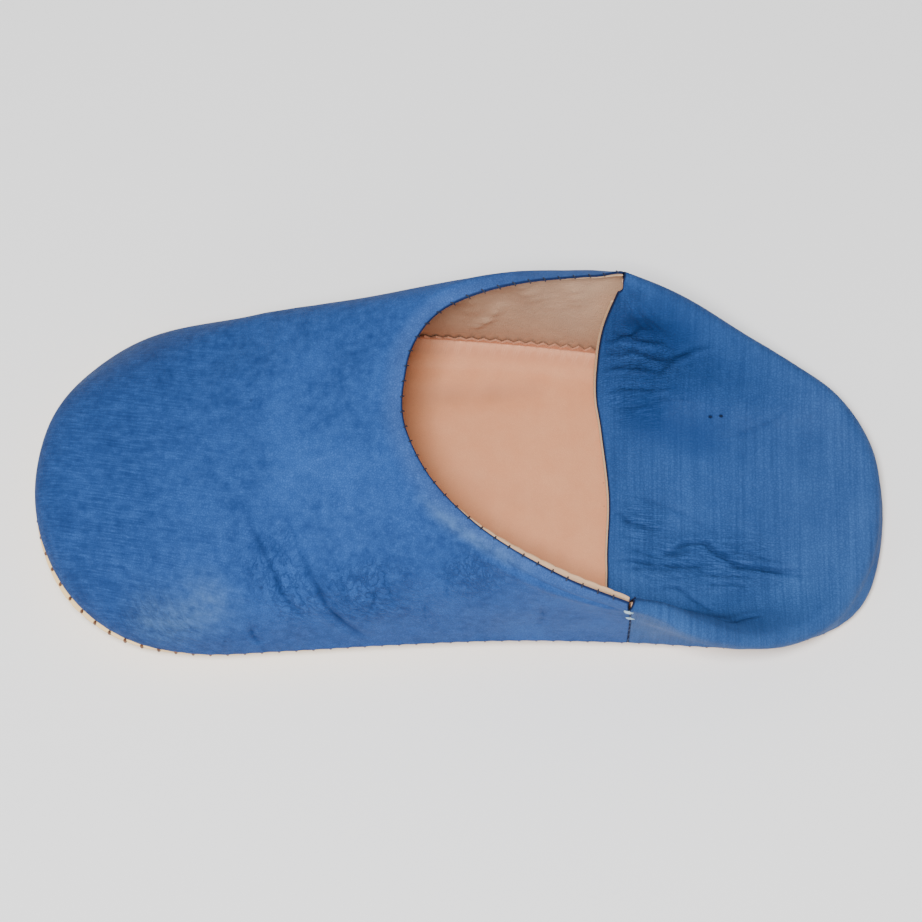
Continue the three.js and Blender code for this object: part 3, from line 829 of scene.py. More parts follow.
def vamp_material():
    """Blue-dyed leather: clouds of darker and lighter dye, brush strokes over the toe, painted shade in the
    creases, wrinkles and shaded stretches, navy at the cut edges, a paler band along the rolled throat that
    is part rubbed wear and part painted highlight, painted highlights on the near toe and throat, pebbled and
    lightly polished."""
    made, tree, shader = material("blue vamp leather")
    uneven = place(tree, UNEVEN_COLOUR, Clouds=20, Patches=75)
    fine = place(tree, UNEVEN_COLOUR, Clouds=65, Patches=330)
    strokes = place(tree, BRUSH_STROKES, Fineness=1)
    lines = place(tree, FINE_WRINKLES, Fineness=0.55)["Lines"]
    lines = maths(tree, "MULTIPLY", lines, mark(tree, "wrinkled"))
    along = add(tree, "SeparateXYZ", add(tree, "TexCoord").outputs["Object"]).outputs["X"]
    toe = ranged(tree, along, -0.055, -0.105)
    grain = place(tree, HIDE_GRAIN, Pebbles=1400, Wrinkles=0.15)
    throat = mark(tree, "throat")
    # painted shade over the far side, broken up by the fine clouds; elsewhere just darker patches
    shade = maths(tree, "MULTIPLY", mark(tree, "shaded"), ranged(tree, fine["Clouds"], 0, 1, 0.15, 0.5))
    dark = maths(tree, "MULTIPLY", strokes["Along"], ranged(tree, toe, 0, 1, 0.14, 0.6))
    between = ranged(tree, strokes["Along"], 0.35, 0)
    pale = maths(tree, "MULTIPLY", between, ranged(tree, toe, 0, 1, 0.04, 0.22))
    # painted highlight: sheen patches on the near toe and along the near throat are painted paler
    sheen = maths(tree, "MULTIPLY", mark(tree, "highlight"), ranged(tree, fine["Patches"], 0, 1, 0.12, 0.42))
    colour = tinted(
        tree, (0.0108, 0.0418, 0.167), (uneven["Clouds"], (0.027, 0.0969, 0.33)),
        (uneven["Patches"], 0.5, (0.033, 0.105, 0.345)), (toe, 0.5, (0.0112, 0.0408, 0.155)),
        (fine["Clouds"], 0.72, (0.0088, 0.0345, 0.138)), (shade, (0.0067, 0.0275, 0.112)),
        (fine["Patches"], 0.62, (0.039, 0.122, 0.385)), (dark, (0.0053, 0.0224, 0.097)),
        (pale, (0.033, 0.0959, 0.301)), (uneven["Specks"], 0.6, (0.0075, 0.0163, 0.0582)),
        # painted shade: the fine wrinkle lines and the creases are darkened
        (lines, 0.55, (0.0082, 0.028, 0.115)),
        (ranged(tree, mark(tree, "crease"), 0.06, 0.65, 0, 0.85), (0.0075, 0.0286, 0.116)),
        # paler band a few millimetres inside the throat: part rubbed wear, part painted highlight
        (ranged(tree, throat, 8, 2.5, 0, 0.35), (0.0675, 0.128, 0.32)),
        (ranged(tree, throat, 0.5, 0.1), (0.0075, 0.0143, 0.0534)),
        (ranged(tree, mark(tree, "seam"), 0.6, 0.2), (0.0045, 0.0082, 0.034)),
        (grain["Valleys"], 0.45, (0.006, 0.0245, 0.097)), (sheen, (0.12, 0.23, 0.44)))
    shader.inputs["Specular IOR Level"].default_value = 0.09
    relief = maths(tree, "MULTIPLY_ADD", lines, -2.8, grain["Height"])
    relief = maths(tree, "MULTIPLY_ADD", dark, -0.35, relief)
    surface(tree, shader, colour, ranged(tree, uneven["Patches"], 0, 1, 0.6, 0.74), relief, 0.5, 0.0004)
    return made


grids, marks = vamp_leather_grids()
vamp = make_piece("vamp_leather", grids, marks)
vamp.data.materials.append(vamp_material())
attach(vamp, "root")
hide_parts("vamp")


# Lining of the vamp
# Thin undyed sheepskin, greyish tan, glued inside the blue leather. Its edge stands over the throat and
# puffs up in scallops between the whip stitches.

LINING_FACE, LINING_BACK = -0.06, -0.9
THROAT_STITCH = 5.0
LIP = table("round height", [
    (-1, 1.1), (-0.8, 1.4), (-0.55, 0.9), (-0.35, -0.2), (-0.2, -1.2), (0.05, -1.5), (0.3, -1.6),
    (0.65, -1.5), (0.9, -1), (1, -0.4),
])
PUFF = 0.3                              # how far the lip rises between two stitches
LIP_DEPTH, FOLD_EDGE = 4, 8             # the lip is drawn out of this depth; the folds fade out under it
EVEN_ROUND = [(-1, 0), (1, 1)]
LINING_STEPS = (EVEN_ROUND, 420, (64,))
LINING_REACH = 0.997                    # it ends a little short of the side seams
LINING_FOLDS = [   # width, height and places (round, up) of soft folds where the lining has come loose
    (5.0, 0.9, [(0.46, 0.9), (0.56, 0.78), (0.66, 0.62), (0.7, 0.45)]),
    (3.5, 0.7, [(0.62, 0.93), (0.71, 0.8), (0.79, 0.64)]),
    (3.0, 0.6, [(0.8, 0.9), (0.85, 0.76), (0.88, 0.6)]),
    (4.0, -0.5, [(0.55, 0.9), (0.65, 0.76), (0.74, 0.58)]),
    (5.0, 0.6, [(0.34, 0.88), (0.42, 0.74), (0.48, 0.6)]),
]


def lining_grids():
    """The inner leaf of the wall. Its last rows rise past the throat by the lip's height, a bow between
    each two whip stitches."""
    t, s = sheet_places(vamp_form, LINING_STEPS)
    middle, normal, dip = vamp_skin(t * LINING_REACH, s)
    bottom, top, inner_end, outer_end = from_edges(middle)
    fold = creases(middle, laid(vamp_form, [(w, h, 0, places) for w, h, places in LINING_FOLDS]))
    middle = middle - normal * (fold * ease(top / FOLD_EDGE) + np.clip(dip, 0, 1))[..., None]
    rise = unit(middle[:, -1:] - middle[:, -4:-3])
    bow = np.abs(np.sin(np.pi * lengths(middle[:, -1:]) / THROAT_STITCH)) ** 0.7
    lip = smooth(LIP["round"], LIP["height"], t[:, -1:]) - PUFF * (1 - bow)
    middle = middle + rise * (lip * np.clip(1 - top / LIP_DEPTH, 0, 1))[..., None]
    edge = np.minimum.reduce([bottom, top, inner_end, outer_end])
    front, back = leaf(middle, normal, LINING_BACK, LINING_FACE, edge)
    return [thinned(front)[:, ::-1], back], {"throat": [thinned(top)[:, ::-1], top]}


def lining_material():
    """Undyed skin: greyish tan with pinker clouds, paler along the lip, soft and matt."""
    made, tree, shader = material("lining skin")
    uneven = place(tree, UNEVEN_COLOUR, Clouds=26, Patches=140)
    colour = tinted(
        tree, (0.533, 0.318, 0.197), (uneven["Clouds"], (0.456, 0.284, 0.185)),
        (uneven["Patches"], 0.45, (0.602, 0.396, 0.252)),
        (ranged(tree, mark(tree, "throat"), 3, 0.5, 0, 0.5), (0.499, 0.318, 0.168)))
    grain = place(tree, HIDE_GRAIN, Pebbles=1300, Wrinkles=0.3)
    surface(tree, shader, colour, 0.8, grain["Height"], 0.5, 0.0003)
    return made


LINING_SKIN = lining_material()
grids, marks = lining_grids()
lining = make_piece("vamp_lining", grids, marks)
lining.data.materials.append(LINING_SKIN)
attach(lining, "root")
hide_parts("vamp")


# Heel quarter
# The back of the upper, blue leather that stands at the side seams and is folded down inside the heel, so
# that its flap lies on the insole. Its free edge is cut raw.

RIDGE = table("round along across height radius turn", [
    (-1, 190.4, -50, 61.6, 1, 155), (-0.8, 208, -54.2, 47.2, 2.2, 135), (-0.65, 225.2, -53, 32.4, 1.6, 125),
    (-0.5, 240.4, -46.6, 22.4, 2.3, 115), (-0.35, 252.9, -36.2, 17.4, 3.4, 108),
    (-0.18, 261.2, -19.5, 16, 4.4, 103), (0, 264.4, 0, 16, 4.6, 100), (0.18, 262.2, 18.2, 16, 4.4, 103),
    (0.35, 253.1, 33.3, 17.6, 3.5, 108), (0.5, 240.2, 41, 24, 2.4, 115), (0.65, 223.8, 46.7, 35, 2, 125),
    (0.8, 205.8, 51.6, 48.8, 2.2, 135), (1, 188.4, 53.8, 64, 1, 155),
])
WALL_LEAN, WALL_STRAIGHT = 0.02, 0.33
FLAP = table("round along across", [
    (-1, 188.6, -50.4), (-0.88, 186, -45), (-0.74, 183, -37.5), (-0.45, 182, -22), (0, 182.5, 1),
    (0.45, 180, 24), (0.74, 178, 41), (0.88, 179.3, 47.8), (1, 183.2, 51.6),
])
WALL = 1.8
FLAP_LEVEL = SOLE + INSOLE + 2 * GAP + WALL / 2
FLAP_TOP, FLAP_LIFT, FLAP_CLIMB = 60, 0.6, 1.5
FLAP_FALL, FLAP_SWEEP, FLAP_FLAT = 0.45, 0.12, 0.5
QUARTER_STEPS = (EVEN_ROUND, 400, (34, 16, 130))
QUARTER_ROUND_LENGTH, FLAP_LENGTH = 130, 70
QUARTER_SLACK, QUARTER_EDGE, FLAP_EDGE = 0.16, 5, 10   # swells, fading out at seams and free edge
SEAM_PLACES = 60
QUARTER_CREASES = [   # width, depth, fine line, places (round, way): 0 to 1 up the wall, 2 to 3 down the flap
    (1.2, 0.34, 0.24, [(-0.1, 2.995), (-0.104, 2.967), (-0.144, 2.944), (-0.165, 2.89), (-0.18, 2.84)]),
    (1.4, 0.45, 0.28, [(-0.3, 2.85), (-0.29, 2.819), (-0.23, 2.77), (-0.21, 2.704), (-0.242, 2.665),
                       (-0.25, 2.58)]),
    (1.2, 0.42, 0.28, [(-0.435, 2.985), (-0.388, 2.946), (-0.371, 2.882), (-0.359, 2.824),
                       (-0.345, 2.755), (-0.31, 2.66)]),
    (1.0, 0.3, 0.24, [(-0.46, 2.965), (-0.422, 2.913), (-0.391, 2.839), (-0.385, 2.77)]),
    (1.0, 0.3, 0.24, [(-0.285, 2.845), (-0.29, 2.8), (-0.259, 2.747), (-0.262, 2.7)]),
    (1.2, 0.38, 0.26, [(-0.215, 2.73), (-0.225, 2.701), (-0.268, 2.627), (-0.293, 2.538), (-0.279, 2.407),
                       (-0.26, 2.25)]),
    (1.0, 0.32, 0.24, [(-0.32, 2.66), (-0.313, 2.6), (-0.288, 2.532), (-0.293, 2.351), (-0.28, 2.22)]),
    (1.2, 0.3, 0.2, [(-0.52, 2.83), (-0.491, 2.791), (-0.471, 2.734), (-0.525, 2.637), (-0.6, 2.45)]),
    (1.4, 0.45, 0.24, [(-0.79, 2.3), (-0.748, 2.2), (-0.691, 2.18), (-0.6, 2.25), (-0.52, 2.22)]),
    (0.9, 0.22, 0.2, [(-0.33, 2.97), (-0.31, 2.91), (-0.325, 2.86), (-0.31, 2.8)]),
    (0.9, 0.22, 0.2, [(-0.35, 2.72), (-0.36, 2.64), (-0.34, 2.55), (-0.345, 2.46)]),
    (0.8, 0.2, 0.18, [(-0.24, 2.62), (-0.23, 2.54), (-0.245, 2.47), (-0.235, 2.38)]),
    (0.8, 0.18, 0.18, [(-0.4, 2.7), (-0.41, 2.62), (-0.39, 2.54), (-0.4, 2.46)]),
    (1.6, 0.55, 0.26, [(0.865, 2.93), (0.851, 2.819), (0.828, 2.691), (0.803, 2.532), (0.785, 2.366)]),
    (1.4, 0.5, 0.24, [(0.832, 2.98), (0.834, 2.911), (0.834, 2.755), (0.848, 2.578), (0.845, 2.42)]),
    (1.6, 0.55, 0.26, [(0.8, 2.987), (0.783, 2.844), (0.78, 2.704), (0.742, 2.573), (0.734, 2.438),
                       (0.725, 2.254)]),
    (1.4, 0.4, 0.2, [(0.67, 2.7), (0.691, 2.64), (0.722, 2.51), (0.734, 2.3), (0.7, 2.1)]),
    (1.2, 0.34, 0.2, [(0.73, 2.98), (0.735, 2.86), (0.72, 2.74), (0.7, 2.62)]),
    (1.0, 0.28, 0.18, [(0.64, 2.98), (0.65, 2.86), (0.63, 2.72), (0.64, 2.58)]),
    (1.0, 0.24, 0.16, [(0.57, 2.97), (0.56, 2.84), (0.575, 2.7), (0.55, 2.56)]),
    (4.5, -0.7, 0.00, [(0.93, 2.75), (0.917, 2.6), (0.905, 2.35), (0.88, 2.12)]),
    (4.0, -0.5, 0.00, [(0.79, 2.93), (0.77, 2.7), (0.76, 2.45), (0.75, 2.22)]),
    (5.0, 0.5, 0.00, [(0.87, 2.7), (0.86, 2.5), (0.85, 2.3)]),
    (1.0, 0.16, 0.1, [(0.3, 2.6), (0.34, 2.48), (0.37, 2.36), (0.42, 2.22)]),
    (1.4, 0.2, 0.1, [(0.02, 2.97), (-0.03, 2.86), (-0.1, 2.76), (-0.16, 2.7)]),
    (3.0, 0.5, 0.12, [(-0.86, 0.8), (-0.78, 0.55), (-0.74, 0.25)]),
    (2.2, 0.4, 0.12, [(-0.68, 0.85), (-0.62, 0.55), (-0.6, 0.2)]),
    (3.0, 0.5, 0.12, [(0.86, 0.8), (0.78, 0.55), (0.74, 0.25)]),
    (2.2, 0.4, 0.12, [(0.66, 0.85), (0.6, 0.55), (0.58, 0.2)]),
]
FLAP_WRINKLED = [   # width of the finely wrinkled skin along a path, and its places (round, way)
    (10, [(-0.4, 2.99), (-0.33, 2.84), (-0.29, 2.7), (-0.27, 2.52), (-0.27, 2.3)]),
    (8, [(-0.14, 2.99), (-0.15, 2.92), (-0.18, 2.82)]),
    (12, [(0.8, 2.99), (0.79, 2.8), (0.76, 2.58), (0.72, 2.36)]),
    (9, [(0.58, 3.0), (0.6, 2.84), (0.6, 2.64)]),
]
PINHOLES = [(0.448, 2.599), (0.445, 2.555)]
PINHOLE_WIDTH, PINHOLE_DEPTH = 0.55, 0.5
SHADED = [   # width and places of the darker stretches: painted shade on the steep far side, a plain darker patch below the pinholes
    (8, [(0.56, 2.95), (0.505, 2.9), (0.462, 2.82), (0.382, 2.755), (0.325, 2.68), (0.3, 2.56)]),
    (9, [(0.96, 2.95), (0.93, 2.79), (0.875, 2.46), (0.79, 2.26), (0.72, 2.15)]),
]


def heel_angle(t):
    """Angle of the seam line at the quarter's foot, t from the inner side seam (-1) round the heel to the
    outer."""
    side_seam = np.where(t < 0, INNER_SEAM, OUTER_SEAM) + GAP
    angle = np.pi - np.abs(t) * (np.pi - angle_at(side_seam))
    return np.where(t < 0, -angle, angle)


def flap_edge(t):
    """Free edge of the flap: on the insole in the middle, climbing to the side seams at both ends."""
    along, across = np.moveaxis(followed(FLAP, "along across", t), -1, 0)
    low = underside(along) + FLAP_LEVEL
    climb = np.clip((np.abs(t) - FLAP_LIFT) / (1 - FLAP_LIFT), 0, 1) ** FLAP_CLIMB
    return np.stack([along, across, low + (FLAP_TOP - low) * climb], -1)


def quarter_form(t, s):
    """Middle of the quarter: s to 1 up the wall, to 2 round the fold's arc, to 3 down the flap."""
    t, s = np.broadcast_arrays(np.asarray(t, float), np.asarray(s, float))
    radius, turn = np.moveaxis(followed(RIDGE, "radius turn", t)[..., None, :], -1, 0)
    turn = np.radians(turn)
    way = followed(RIDGE, "along across height", t + TINY) - followed(RIDGE, "along across height", t - TINY)
    out = unit(np.stack([way[..., 1], -way[..., 0], 0 * way[..., 0]], -1))
    centre = followed(RIDGE, "along across height", t) - UP * radius
    angle = heel_angle(t)
    foot = seam_line(angle)
    top = centre + out * radius
    height = (top - foot)[..., 2:]
    leave = foot + UP * height * WALL_STRAIGHT + inward(angle) * height * WALL_LEAN
    wall = bezier(foot, leave, top - UP * height * WALL_STRAIGHT, top, np.clip(s, 0, 1))
    bent = np.clip(s - 1, 0, 1)[..., None] * turn
    fold = centre + radius * (out * np.cos(bent) + UP * np.sin(bent))
    start = centre + radius * (out * np.cos(turn) + UP * np.sin(turn))
    end = flap_edge(t)
    plan = (end - start) * (1, 1, 0)
    fall = FLAP_FALL * (start - end)[..., 2:] + FLAP_SWEEP * np.linalg.norm(plan, axis=-1, keepdims=True)
    leave = start + fall * (UP * np.cos(turn) - out * np.sin(turn))
    flap = bezier(start, leave, end - plan * FLAP_FLAT, end, np.clip(s - 2, 0, 1))
    return np.where((s <= 1)[..., None], wall, np.where((s <= 2)[..., None], fold, flap))


def to_the_vamp(points, s, end):
    """How far an end of the quarter's wall lies from the vamp's end at the same height, in plan. Fold and
    flap move with the wall's top, and the way fades out down the flap."""
    share = np.linspace(0, 1, SEAM_PLACES)
    edge = vamp_form(np.full(SEAM_PLACES, end), share)
    below = lengths(edge)[-1] - lengths(edge)
    edge[:, 0] += SEAM_CLOSE * share ** 3
    if end < 0:
        edge[:, 1] -= SPREAD * np.clip(1 - below / SPREAD_DEPTH, 0, 1) ** 2
    held = points[np.minimum(np.arange(len(s)), np.searchsorted(s, 1.0))]
    meet = np.stack([np.interp(held[:, 2], edge[:, 2], edge[:, k]) for k in (0, 1)], -1)
    return (meet - held[:, :2]) * ease(3 - s)[:, None]


def quarter_skin(t, s):
    """The quarter's middle with its creases and slack, its normals on the blue side and the creases'
    depth."""
    form = quarter_form(t, s)
    normal = -facing(form)
    bottom, free, inner_end, outer_end = from_edges(form)
    side = ease(np.minimum(inner_end, outer_end) / QUARTER_EDGE) * ease(bottom / QUARTER_EDGE)
    dip = creases(form, laid(quarter_form, QUARTER_CREASES)) * side
    shift = slack(form, QUARTER_SLACK) * side * ease(free / FLAP_EDGE) - dip
    skin = form + normal * shift[..., None]
    for row, away in ((0, inner_end), (-1, outer_end)):
        pull = to_the_vamp(form[row], s[row], np.sign(t[row, 0]))
        skin[..., :2] += pull * (np.clip(1 - away / SEAM_REACH, 0, 1) ** 2)[..., None]
    return skin, normal, dip


def quarter_leather_grids():
    """The blue leaf, on the outside of wall and fold and on top of the flap, with two pinholes in the
    flap."""
    t, s = sheet_places(quarter_form, QUARTER_STEPS)
    skin, normal, dip = quarter_skin(t, s)
    middle, (front, back), free, seam = blue_leaf(skin, normal)
    holes = np.stack([quarter_form(*np.array(spot)) for spot in PINHOLES])
    away = np.linalg.norm(middle[..., None, :] - holes, axis=-1)
    hole = np.exp(-(away / PINHOLE_WIDTH) ** 2).sum(-1)
    front = front - normal * (PINHOLE_DEPTH * hole)[..., None]
    wrinkled, shaded = (bands(middle, laid(quarter_form, rows)) for rows in (FLAP_WRINKLED, SHADED))
    values = {"crease": dip, "free": free, "seam": seam, "hole": hole,
              "wrinkled": wrinkled, "shaded": shaded,
              "lie": t * QUARTER_ROUND_LENGTH, "run": s * FLAP_LENGTH}
    marks = {name: [value, thinned(value)[:, ::-1]] for name, value in values.items()}
    return [front, thinned(back)[:, ::-1]], marks


def quarter_material():
    """Blue leather a shade greyer than the vamp's: brush strokes across the flap, navy seams, a dark cut
    edge, painted shade in the wrinkles, creases and pinholes and over the steep far side, a darker patch
    below the pinholes, and painted light towards the heel and the near side."""
    made, tree, shader = material("blue quarter leather")
    uneven = place(tree, UNEVEN_COLOUR, Clouds=24, Patches=85)
    fine = place(tree, UNEVEN_COLOUR, Clouds=70, Patches=300)
    strokes = place(tree, BRUSH_STROKES, Fineness=1)
    lines = place(tree, FINE_WRINKLES, Fineness=0.7)["Lines"]
    lines = maths(tree, "MULTIPLY", lines, mark(tree, "wrinkled"))
    place_at = add(tree, "SeparateXYZ", add(tree, "TexCoord").outputs["Object"]).outputs
    grain = place(tree, HIDE_GRAIN, Pebbles=1000, Wrinkles=0.15)
    colour = tinted(
        tree, (0.0142, 0.0554, 0.194), (uneven["Clouds"], (0.0307, 0.0972, 0.294)),
        (uneven["Patches"], 0.3, (0.036, 0.1017, 0.294)),
        # painted light: paler towards the heel and towards the near side, where the flap is lit more
        (ranged(tree, place_at["X"], 0.08, 0.13, 0, 0.4), (0.048, 0.113, 0.289)),
        (ranged(tree, place_at["Y"], -0.01, -0.04, 0, 0.45), (0.046, 0.135, 0.36)),
        (fine["Clouds"], 0.4, (0.0097, 0.0407, 0.152)), (fine["Patches"], 0.35, (0.039, 0.1107, 0.315)),
        # painted shade in the fine wrinkle lines here, and below in the creases and the pinholes
        (strokes["Across"], 0.42, (0.0075, 0.0316, 0.116)), (lines, 0.45, (0.006, 0.0249, 0.0945)),
        (ranged(tree, mark(tree, "crease"), 0.04, 0.5, 0, 0.65), (0.006, 0.0249, 0.0945)),
        (ranged(tree, mark(tree, "free"), 0.8, 0.3), (0.006, 0.0113, 0.0368)),
        (ranged(tree, mark(tree, "seam"), 0.6, 0.2), (0.0045, 0.009, 0.0368)),
        (ranged(tree, mark(tree, "hole"), 0.12, 0.45), (0.003, 0.0045, 0.0105)),
        (grain["Valleys"], 0.35, (0.006, 0.0226, 0.084)), (mark(tree, "shaded"), 0.6, (0.006, 0.0339, 0.137)))
    shader.inputs["Specular IOR Level"].default_value = 0.1
    relief = maths(tree, "MULTIPLY_ADD", strokes["Across"], -0.3, grain["Height"])
    relief = maths(tree, "MULTIPLY_ADD", lines, -1.6, relief)
    surface(tree, shader, colour, ranged(tree, uneven["Patches"], 0, 1, 0.58, 0.72), relief, 0.5, 0.0004)
    return made


grids, marks = quarter_leather_grids()
quarter = make_piece("quarter_leather", grids, marks)
quarter.data.materials.append(quarter_material())
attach(quarter, "root")
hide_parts("heel_quarter")


# Lining of the quarter
# The same undyed skin, glued under the blue leather. Along the flap's free edge it was cut a little longer,
# so a pale line shows there.

FREE_LIP = table("round length", [
    (-1, 0.3), (-0.8, 0.5), (-0.6, 0.6), (0.7, 0.6), (0.82, 0.6), (0.92, 0.5), (1, 0.4),
])
QUARTER_LINING_STEPS = (EVEN_ROUND, 240, (18, 10, 50))
QUARTER_LINING_REACH = 0.965


def quarter_lining_grids():
    """The leaf on the inside of the wall and under the flap, its last rows drawn past the blue leather's
    edge."""
    t, s = sheet_places(quarter_form, QUARTER_LINING_STEPS)
    middle, normal, _ = quarter_skin(t * QUARTER_LINING_REACH, s)
    bottom, free, inner_end, outer_end = from_edges(middle)
    way = unit(middle[:, -1:] - middle[:, -4:-3])
    lip = smooth(FREE_LIP["round"], FREE_LIP["length"], t[:, -1:])
    middle = middle + way * (lip * np.clip(1 - free / LIP_DEPTH, 0, 1))[..., None]
    edge = np.minimum.reduce([bottom, free, inner_end, outer_end])
    front, back = leaf(middle, normal, LINING_BACK, LINING_FACE, edge)
    return [thinned(front), back[:, ::-1]], {"throat": [thinned(free), free[:, ::-1]]}


grids, marks = quarter_lining_grids()
quarter_lining = make_piece("quarter_lining", grids, marks)
quarter_lining.data.materials.append(LINING_SKIN)
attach(quarter_lining, "root")
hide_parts("heel_quarter")


# Stitches of the sole's seam
# Thick waxed brown thread, whipped over the sole's rim into the edge of the upper. Each stitch shows as a
# short knob sunk in its dent.

SOLE_THREAD = 0.5                       # radius of the thread
STITCH_PATH = table("out up", [
    (-0.5, 1.3), (0.05, 1), (0.2, 0.35), (0.12, -0.4), (-0.1, -1), (-0.6, -1.3),
])
STITCH_OUT = 0.95                       # on a wide rim the stitches stay this near to the upper
THREAD_SIDES, THREAD_STEPS, THREAD_TAPER = 8, 12, 6
OFF_THE_WAY = (0.3, 0.1, 0.2)           # turns a direction out of any thread's own


def threads(paths, radius):
    """Round threads carried along paths: circles square to the path, drawn in to a point at both ends."""
    way = unit(np.gradient(paths, axis=-2))
    side = unit(np.cross(way, np.roll(way[..., ::-1], 1, -1) + OFF_THE_WAY))
    other = np.cross(way, side)
    place_on = np.linspace(-1, 1, paths.shape[-2])
    thick = radius * np.sqrt(1 - place_on ** THREAD_TAPER)
    turn = np.linspace(2 * np.pi, 0, THREAD_SIDES + 1)
    ring = side[..., None, :] * np.cos(turn)[:, None] + other[..., None, :] * np.sin(turn)[:, None]
    return paths[..., None, :] + ring * thick[:, None, None]


def sole_stitch_paths():
    """One short path for each stitch, out from the upper's edge, over the rim and into the sole."""
    paths = []
    for side in (-1, 1):
        _, run = even_angles(side, 1)
        count = int(round(run / SOLE_STITCH))
        angle, _ = even_angles(side, count)
        angle = angle[1:] if side > 0 else angle[:-1]
        number = np.arange(len(STITCH_PATH["out"]), dtype=float)
        at = np.linspace(0, number[-1], THREAD_STEPS)
        out, up = (smooth(number, STITCH_PATH[name], at) for name in ("out", "up"))
        seam = seam_line(angle)[:, None] - UP * RIM_DROP
        far_out = np.minimum(rim_out(angle), STITCH_OUT)[:, None] + out
        paths.append(seam - inward(angle)[:, None] * far_out[..., None] + UP * up[None, :, None])
    return np.concatenate(paths)


def thread_material(name, colour, shade):
    """Waxed thread: a colour clouded by a darker shade, with a fine twist of bump."""
    made, tree, shader = material(name)
    uneven = place(tree, UNEVEN_COLOUR, Clouds=150, Patches=900)
    grain = place(tree, HIDE_GRAIN, Pebbles=4000, Wrinkles=0)
    surface(tree, shader, mix(tree, uneven["Patches"], colour, shade), 0.55, grain["Height"], 0.5, 0.0001)
    return made


sole_stitches = make_piece("sole_stitches", [threads(sole_stitch_paths(), SOLE_THREAD)])
sole_stitches.data.materials.append(
    thread_material("brown thread", (0.2, 0.075, 0.025), (0.07, 0.025, 0.012)))
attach(sole_stitches, "root")


# Whip stitches of the throat
# Thin navy thread about every 5 mm, from the blue leather's edge into the lip of the lining. Each stitch
# shows as a small dark knot where the two meet.

THROAT_THREAD, WHIP_STEPS = 0.24, 16
WHIP_PATH = table("down out along", [
    (0.75, 0.5, -0.25), (0.5, 0.9, -0.2), (0.15, 0.98, -0.1), (-0.15, 0.82, 0.05), (-0.35, 0.45, 0.15),
    (-0.4, 0, 0.2),
])


def whip_paths():
    """Paths over the edge, from the blue face into the lip, evenly spaced along the throat."""
    t, s = sheet_places(vamp_form, LINING_STEPS)
    middle, normal, _ = vamp_skin(t, s)
    edge, run = middle[:, -1], lengths(middle[:, -1])
    count = int(run[-1] / THROAT_STITCH)
    row = np.interp(np.arange(1, count + 1) * THROAT_STITCH, run, np.arange(len(run)))
    ways = (edge, unit(middle[:, -5] - edge), normal[:, -1], unit(np.gradient(edge, axis=0)))
    start, *ways = (
        np.stack([np.interp(row, np.arange(len(run)), column) for column in values.T], -1) for values in ways)
    number = np.arange(len(WHIP_PATH["down"]), dtype=float)
    at = np.linspace(0, number[-1], WHIP_STEPS)
    steps = [smooth(number, WHIP_PATH[name], at)[None, :, None] for name in ("down", "out", "along")]
    return start[:, None] + sum(step * way[:, None] for step, way in zip(steps, ways))


whip_stitches = make_piece("throat_stitches", [threads(whip_paths(), THROAT_THREAD)])
whip_stitches.data.materials.append(
    thread_material("navy thread", (0.006, 0.011, 0.04), (0.003, 0.005, 0.016)))
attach(whip_stitches, "root")


# Side seams
# Vamp and quarter meet edge to edge. Short navy stitches run up the join, and two pale knots of another
# thread hold it near the top of the inner side.

SEAM_STITCHES = {   # shares of the way up, half length across, lean along the seam, radius, ends of the vamp
    "pale": ((0.6, 0.91), 1.5, 0.3, 0.52, (-1.0,)),
    "navy": ((0.06, 0.16, 0.26, 0.36, 0.46, 0.7, 0.8), 0.3, 1.2, 0.2, (-1.0, 1.0)),
}
BOW_HEIGHT, BOW_FALL = 0.95, 0.6        # a stitch stands over the wall's middle, and falls at its ends


def seam_stitch_paths(shares, half, lean, ends):
    """Small bows across the side seams at shares of their height, standing on the blue face."""
    bow = np.linspace(-1, 1, THREAD_STEPS)
    paths = []
    for end in ends:
        s = np.array(shares)
        t = np.full(s.shape, end)
        here = vamp_form(t, s) + (SEAM_CLOSE * s ** 3)[:, None] * (1, 0, 0)
        up = unit(vamp_form(t, s + 0.01) - vamp_form(t, s - 0.01))
        along = unit(vamp_form(t, s) - vamp_form(t - 0.01 * end, s))
        out = unit(np.cross(up, along)) * end
        tall = np.linalg.norm(vamp_form(t, s * 0 + 1) - vamp_form(t, s * 0), axis=-1)
        spread = (end < 0) * SPREAD * np.clip(1 - tall * (1 - s) / SPREAD_DEPTH, 0, 1) ** 2
        here = here + out * spread[:, None]
        height = BOW_HEIGHT - BOW_FALL * bow ** 4
        paths.append(here[:, None] + along[:, None] * (half * bow)[None, :, None]
                     + out[:, None] * height[None, :, None] + up[:, None] * (lean * bow)[None, :, None])
    return np.concatenate(paths)


SEAM_THREADS = {
    "pale": thread_material("pale thread", (0.42, 0.55, 0.62), (0.22, 0.34, 0.45)),
    "navy": thread_material("blue thread", (0.008, 0.03, 0.11), (0.004, 0.012, 0.05)),
}
for tint, (shares, half, lean, radius, ends) in SEAM_STITCHES.items():
    paths = seam_stitch_paths(shares, half, lean, ends)
    stitches = make_piece(f"seam_stitches_{tint}", [threads(paths, radius)])
    stitches.data.materials.append(SEAM_THREADS[tint])
    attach(stitches, "root")


# Floor, light and camera
# A pale plain floor, a soft light from above on the near side, a weaker one low on the toe's near side and
# white surroundings. The camera looks down on the slipper from its inner side, as the reference does.

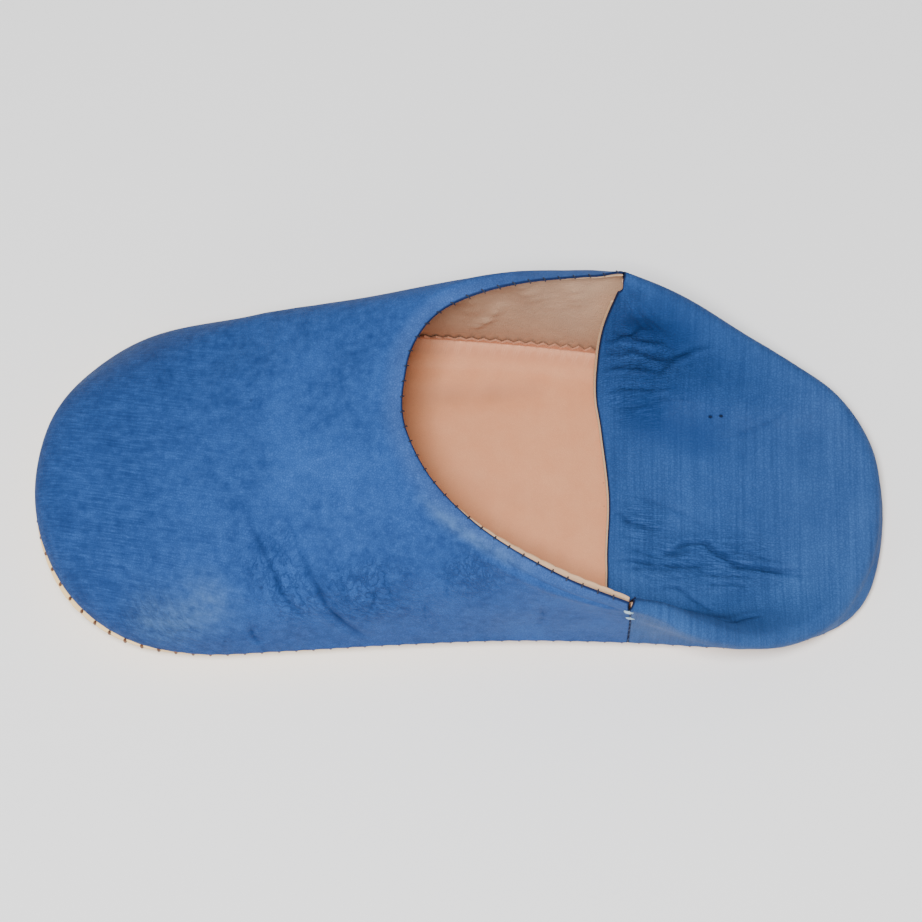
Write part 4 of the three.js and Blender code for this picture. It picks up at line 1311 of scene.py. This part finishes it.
FLOOR_HALF, FLOOR_LEVEL = 6.0, -0.0002
floor_mesh = bpy.data.meshes.new("floor")
floor_corners = FLOOR_HALF * np.array([(-1, -1), (1, -1), (1, 1), (-1, 1)])
floor_mesh.from_pydata([(x, y, FLOOR_LEVEL) for x, y in floor_corners.tolist()], [], [(0, 1, 2, 3)])
floor = bpy.data.objects.new("floor", floor_mesh)
bpy.context.scene.collection.objects.link(floor)
floor_material, _, floor_shader = material("pale floor")
floor_shader.inputs["Base Color"].default_value = (0.92, 0.92, 0.92, 1)
floor_shader.inputs["Roughness"].default_value = 0.9
floor.data.materials.append(floor_material)

world = bpy.data.worlds.new("white surroundings")
bpy.context.scene.world = world
world.use_nodes = True
world.node_tree.nodes["Background"].inputs["Color"].default_value = (1, 1, 1, 1)
world.node_tree.nodes["Background"].inputs["Strength"].default_value = 0.52


def soft_light(name, place_at, size, power):
    """Rectangular soft light that faces the slipper."""
    data = bpy.data.lights.new(name, "AREA")
    data.shape = "RECTANGLE"
    data.size, data.size_y = size
    data.energy = power
    light = bpy.data.objects.new(name, data)
    bpy.context.scene.collection.objects.link(light)
    light.location = place_at
    light.rotation_euler = (-Vector(place_at)).to_track_quat("-Z", "Y").to_euler()


soft_light("light from above", (-0.08, -0.38, 1.15), (0.26, 0.26), 23)
soft_light("light from the near side", (-0.7, -0.9, 0.45), (0.45, 0.3), 1.8)

ELEVATION, AZIMUTH = np.radians(68.5), np.radians(-0.9)
AIM = np.array([-0.0005, 0.0075, 0.0232])
DISTANCE, LENS, SENSOR = 1.1, 134.9, 36
level = np.cos(ELEVATION)
back = np.array([-level * np.sin(AZIMUTH), -level * np.cos(AZIMUTH), np.sin(ELEVATION)])
right = np.array([np.cos(AZIMUTH), -np.sin(AZIMUTH), 0])
axes = np.stack([right, np.cross(back, right), back], 1)
camera_data = bpy.data.cameras.new("camera")
camera_data.sensor_width, camera_data.lens = SENSOR, LENS
camera = bpy.data.objects.new("camera", camera_data)
bpy.context.scene.collection.objects.link(camera)
camera.matrix_world = Matrix.Translation(AIM + back * DISTANCE) @ Matrix(axes.tolist()).to_4x4()
bpy.context.scene.camera = camera
